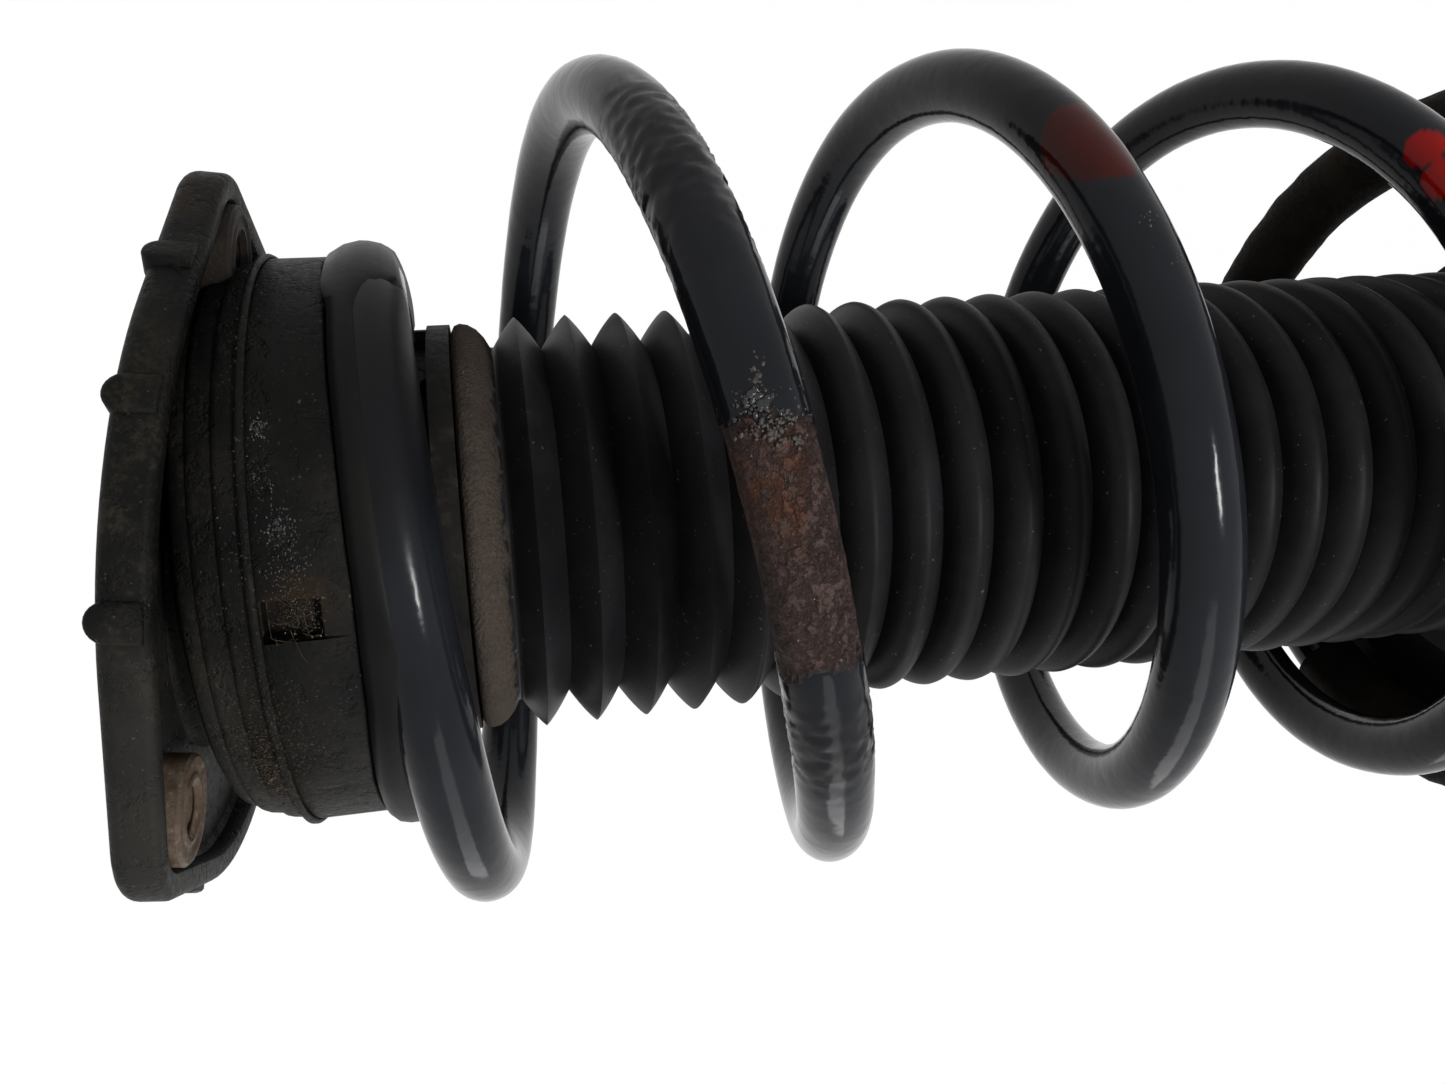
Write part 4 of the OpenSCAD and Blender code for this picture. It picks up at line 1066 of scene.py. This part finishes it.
flakes = dict(
    # turn, angle round the wire, spread along and round it, count, least and largest size
    seed=3, sunk=0.12,
    blisters=((0.2305, 20, 0.0042, 20, 70, 0.3, 0.95), (0.2315, 12, 0.0045, 34, 60, 0.12, 0.35)),
    scales=((0.2375, -15, 0.002, 26, 30, 0.2, 0.55), (0.2385, 30, 0.002, 22, 26, 0.15, 0.4),
            (0.2235, 9, 0.0035, 8, 26, 0.15, 0.5), (0.241, 9, 0.002, 15, 34, 0.2, 0.6),
            (0.244, -16, 0.0018, 12, 20, 0.2, 0.5), (1.181, 0, 0.003, 14, 16, 0.12, 0.34),
            (1.1975, -15, 0.0025, 10, 12, 0.12, 0.3), (0.255, 8, 0.008, 30, 26, 0.08, 0.2)),
)


def buildFlakes():
    # blistered paint and scale at the upper edge of the rusty patch, and chips further down
    f = flakes
    dice = random.Random(f["seed"])
    for name, spots, material in (("paintBlisters", f["blisters"], tarBlack),
                                  ("rustScales", f["scales"], scaleGrey)):
        shape = Shape()
        for t, angle, along, around, count, low, high in spots:
            for _ in range(count):
                middle, across, up, _ = wireFrame(t + along * dice.gauss(0, 0.6))
                a = math.radians(angle + around * dice.gauss(0, 0.6))
                way = math.cos(a) * across + math.sin(a) * up
                pebble(shape, middle + (spring["wireRadius"] - f["sunk"]) * way, way,
                       between(low, high, dice.random() ** 2), dice)
        shorten(newPiece(name, shape, material, "upper_seat"))
    print("flakes on the wire")


buildGrit()
buildFibres()
buildFlakes()


welds = dict(
    # depth, first and last angle, radius of the bead, its distance outside the tube
    beads=((387.6, -140, 140, 1.7, 0.9), (480.4, -140, 140, 1.7, 0.9), (317.6, -87, -33, 1.1, 0.6),
           (323.4, -87, -33, 1.1, 0.6), (361.7, 54, 96, 0.9, 0.5), (365.3, 54, 96, 0.9, 0.5)),
    tubeRadius=27.0, ripple=2.3,
)


def buildWelds():
    w = welds
    shape = Shape()
    for n, (depth, first, last, thick, off) in enumerate(w["beads"]):
        length = math.radians(last - first) * w["tubeRadius"]
        steps = max(12, int(length / 0.45))
        rings = []
        for i in range(steps + 1):
            u = i / steps
            a = math.radians(between(first, last, u))
            way = Vector((math.cos(a), math.sin(a), 0))
            swell = 1 + 0.13 * math.cos(turnRadians * u * length / w["ripple"])
            swell += 0.14 * noise.noise(Vector((u * length * 0.4, n * 7.0, 1.0)))
            swell *= min(1, 0.35 + 6 * min(u, 1 - u))
            middle = way * (w["tubeRadius"] + off) + Vector((0, 0, -depth))
            rings.append(circle(middle, way, Vector((0, 0, 1)), thick * swell, 10))
        shape.skin(rings, caps=True)
    newPiece("weldBeads", shape, tubePaint, "damper_body")
    print("welds laid")


buildWelds()
for name, width in (("knuckle_bracket", 0.5), ("link_bracket", 0.5), ("hose_bracket", 0.35),
                    ("lower_spring_seat", 0.6)):
    softEdges(nodes[name], width, 30, 3, True)


nodeFinishes = (
    (mountPlastic, ("mount_housing",)),
    (collarPlastic, ("boot_collar",)),
    (bumpFoam, ("bump_stop",)),
    (greenPolymer, ("bearing_cage", "piston_ring")),
    (dullAlloy, ("piston", "rod_guide", "base_valve")),
    (blackRubber, ("rubber_bush", "rebound_stop", "rod_seal", "lower_pad")),
    (polishedSteel, ("bearing_top_race", "bearing_balls", "bearing_lower_race", "piston_rod")),
    (zincSteel, ("bush_sleeve", "top_washer", "rod_nut", "bump_stop_cup", "piston_nut",
                 "tube_cap", "pressure_tube")),
    (tubePaint, ("damper_tube", "lower_spring_seat", "knuckle_bracket", "link_bracket",
                 "hose_bracket")),
)
for finish, names in nodeFinishes:
    for name in names:
        for place in nodes[name].material_slots:
            place.material = finish
print("finishes on", sum(len(names) for _, names in nodeFinishes), "nodes")


studio = dict(
    floorDepth=500.6, floorSize=6.0, floorGlow=1.08, glowShare=0.9, worldLight=0.25,
    aim=(0, 0, -120),
    lamps=(("lowPanel", (-1200, -150, -760), (1.9, 1.9), 2.4),       # name, place, size, glow
           ("frontPanel", (-250, -900, -460), (0.26, 0.09), 88)),
)


def seenRays(tree):
    # 1 for rays from the camera, off a gloss and through glass
    path = tree.nodes.new("ShaderNodeLightPath")
    seen = path.outputs["Is Camera Ray"]
    for ray in ("Is Glossy Ray", "Is Transmission Ray"):
        more = tree.nodes.new("ShaderNodeMath")
        more.use_clamp = True
        tree.links.new(seen, more.inputs[0])
        tree.links.new(path.outputs[ray], more.inputs[1])
        seen = more.outputs[0]
    return seen


def plainFloor():
    m = Recipe("paleFloor", dict(dark=(0.8, 0.8, 0.8)), 0.9)
    glow = m.add("Emission", {"Color": (1, 1, 1), "Strength": studio["floorGlow"]})
    share = m.times(seenRays(m.tree), studio["glowShare"])
    both = m.add("MixShader", {0: share, 1: m.shader.outputs[0], 2: glow.outputs[0]})
    m.give(m.tree.nodes["Material Output"].inputs["Surface"], both.outputs[0])
    return m.material


def buildFloor():
    half = studio["floorSize"] / 2 / mm
    z = -studio["floorDepth"]
    square = [[(-half, -half, z), (half, -half, z)], [(-half, half, z), (half, half, z)]]
    shape = Shape()
    shape.verts, shape.faces = square[0] + square[1], [(0, 1, 3, 2)]
    newPiece("studioFloor", shape, plainFloor(), None)


def buildWorld():
    world = bpy.data.worlds.new("studioWorld")
    bpy.context.scene.world = world
    world.use_nodes = True
    tree = world.node_tree
    tree.nodes.clear()
    out = tree.nodes.new("ShaderNodeOutputWorld")
    both = tree.nodes.new("ShaderNodeMixShader")
    for place, strength in ((1, studio["worldLight"]), (2, 1.0)):     # light, and what is seen
        white = tree.nodes.new("ShaderNodeBackground")
        white.inputs["Color"].default_value = (1, 1, 1, 1)
        white.inputs["Strength"].default_value = strength
        tree.links.new(white.outputs[0], both.inputs[place])
    tree.links.new(seenRays(tree), both.inputs[0])
    tree.links.new(both.outputs[0], out.inputs["Surface"])


def lamp(name, place, size, glow):
    # soft rectangle whose face shines with the given strength, where 1 is plain white
    light = bpy.data.lights.new(name, "AREA")
    light.shape = "RECTANGLE"
    light.size, light.size_y = size
    light.energy = glow * math.pi * size[0] * size[1]
    piece = bpy.data.objects.new(name, light)
    piece.location = Vector(place) * mm
    way = Vector(studio["aim"]) * mm - piece.location
    piece.rotation_euler = way.to_track_quat("-Z", "Y").to_euler()
    bpy.context.collection.objects.link(piece)


buildFloor()
buildWorld()
for each in studio["lamps"]:
    lamp(*each)
bpy.context.scene.view_settings.view_transform = "Standard"
print("studio lit")
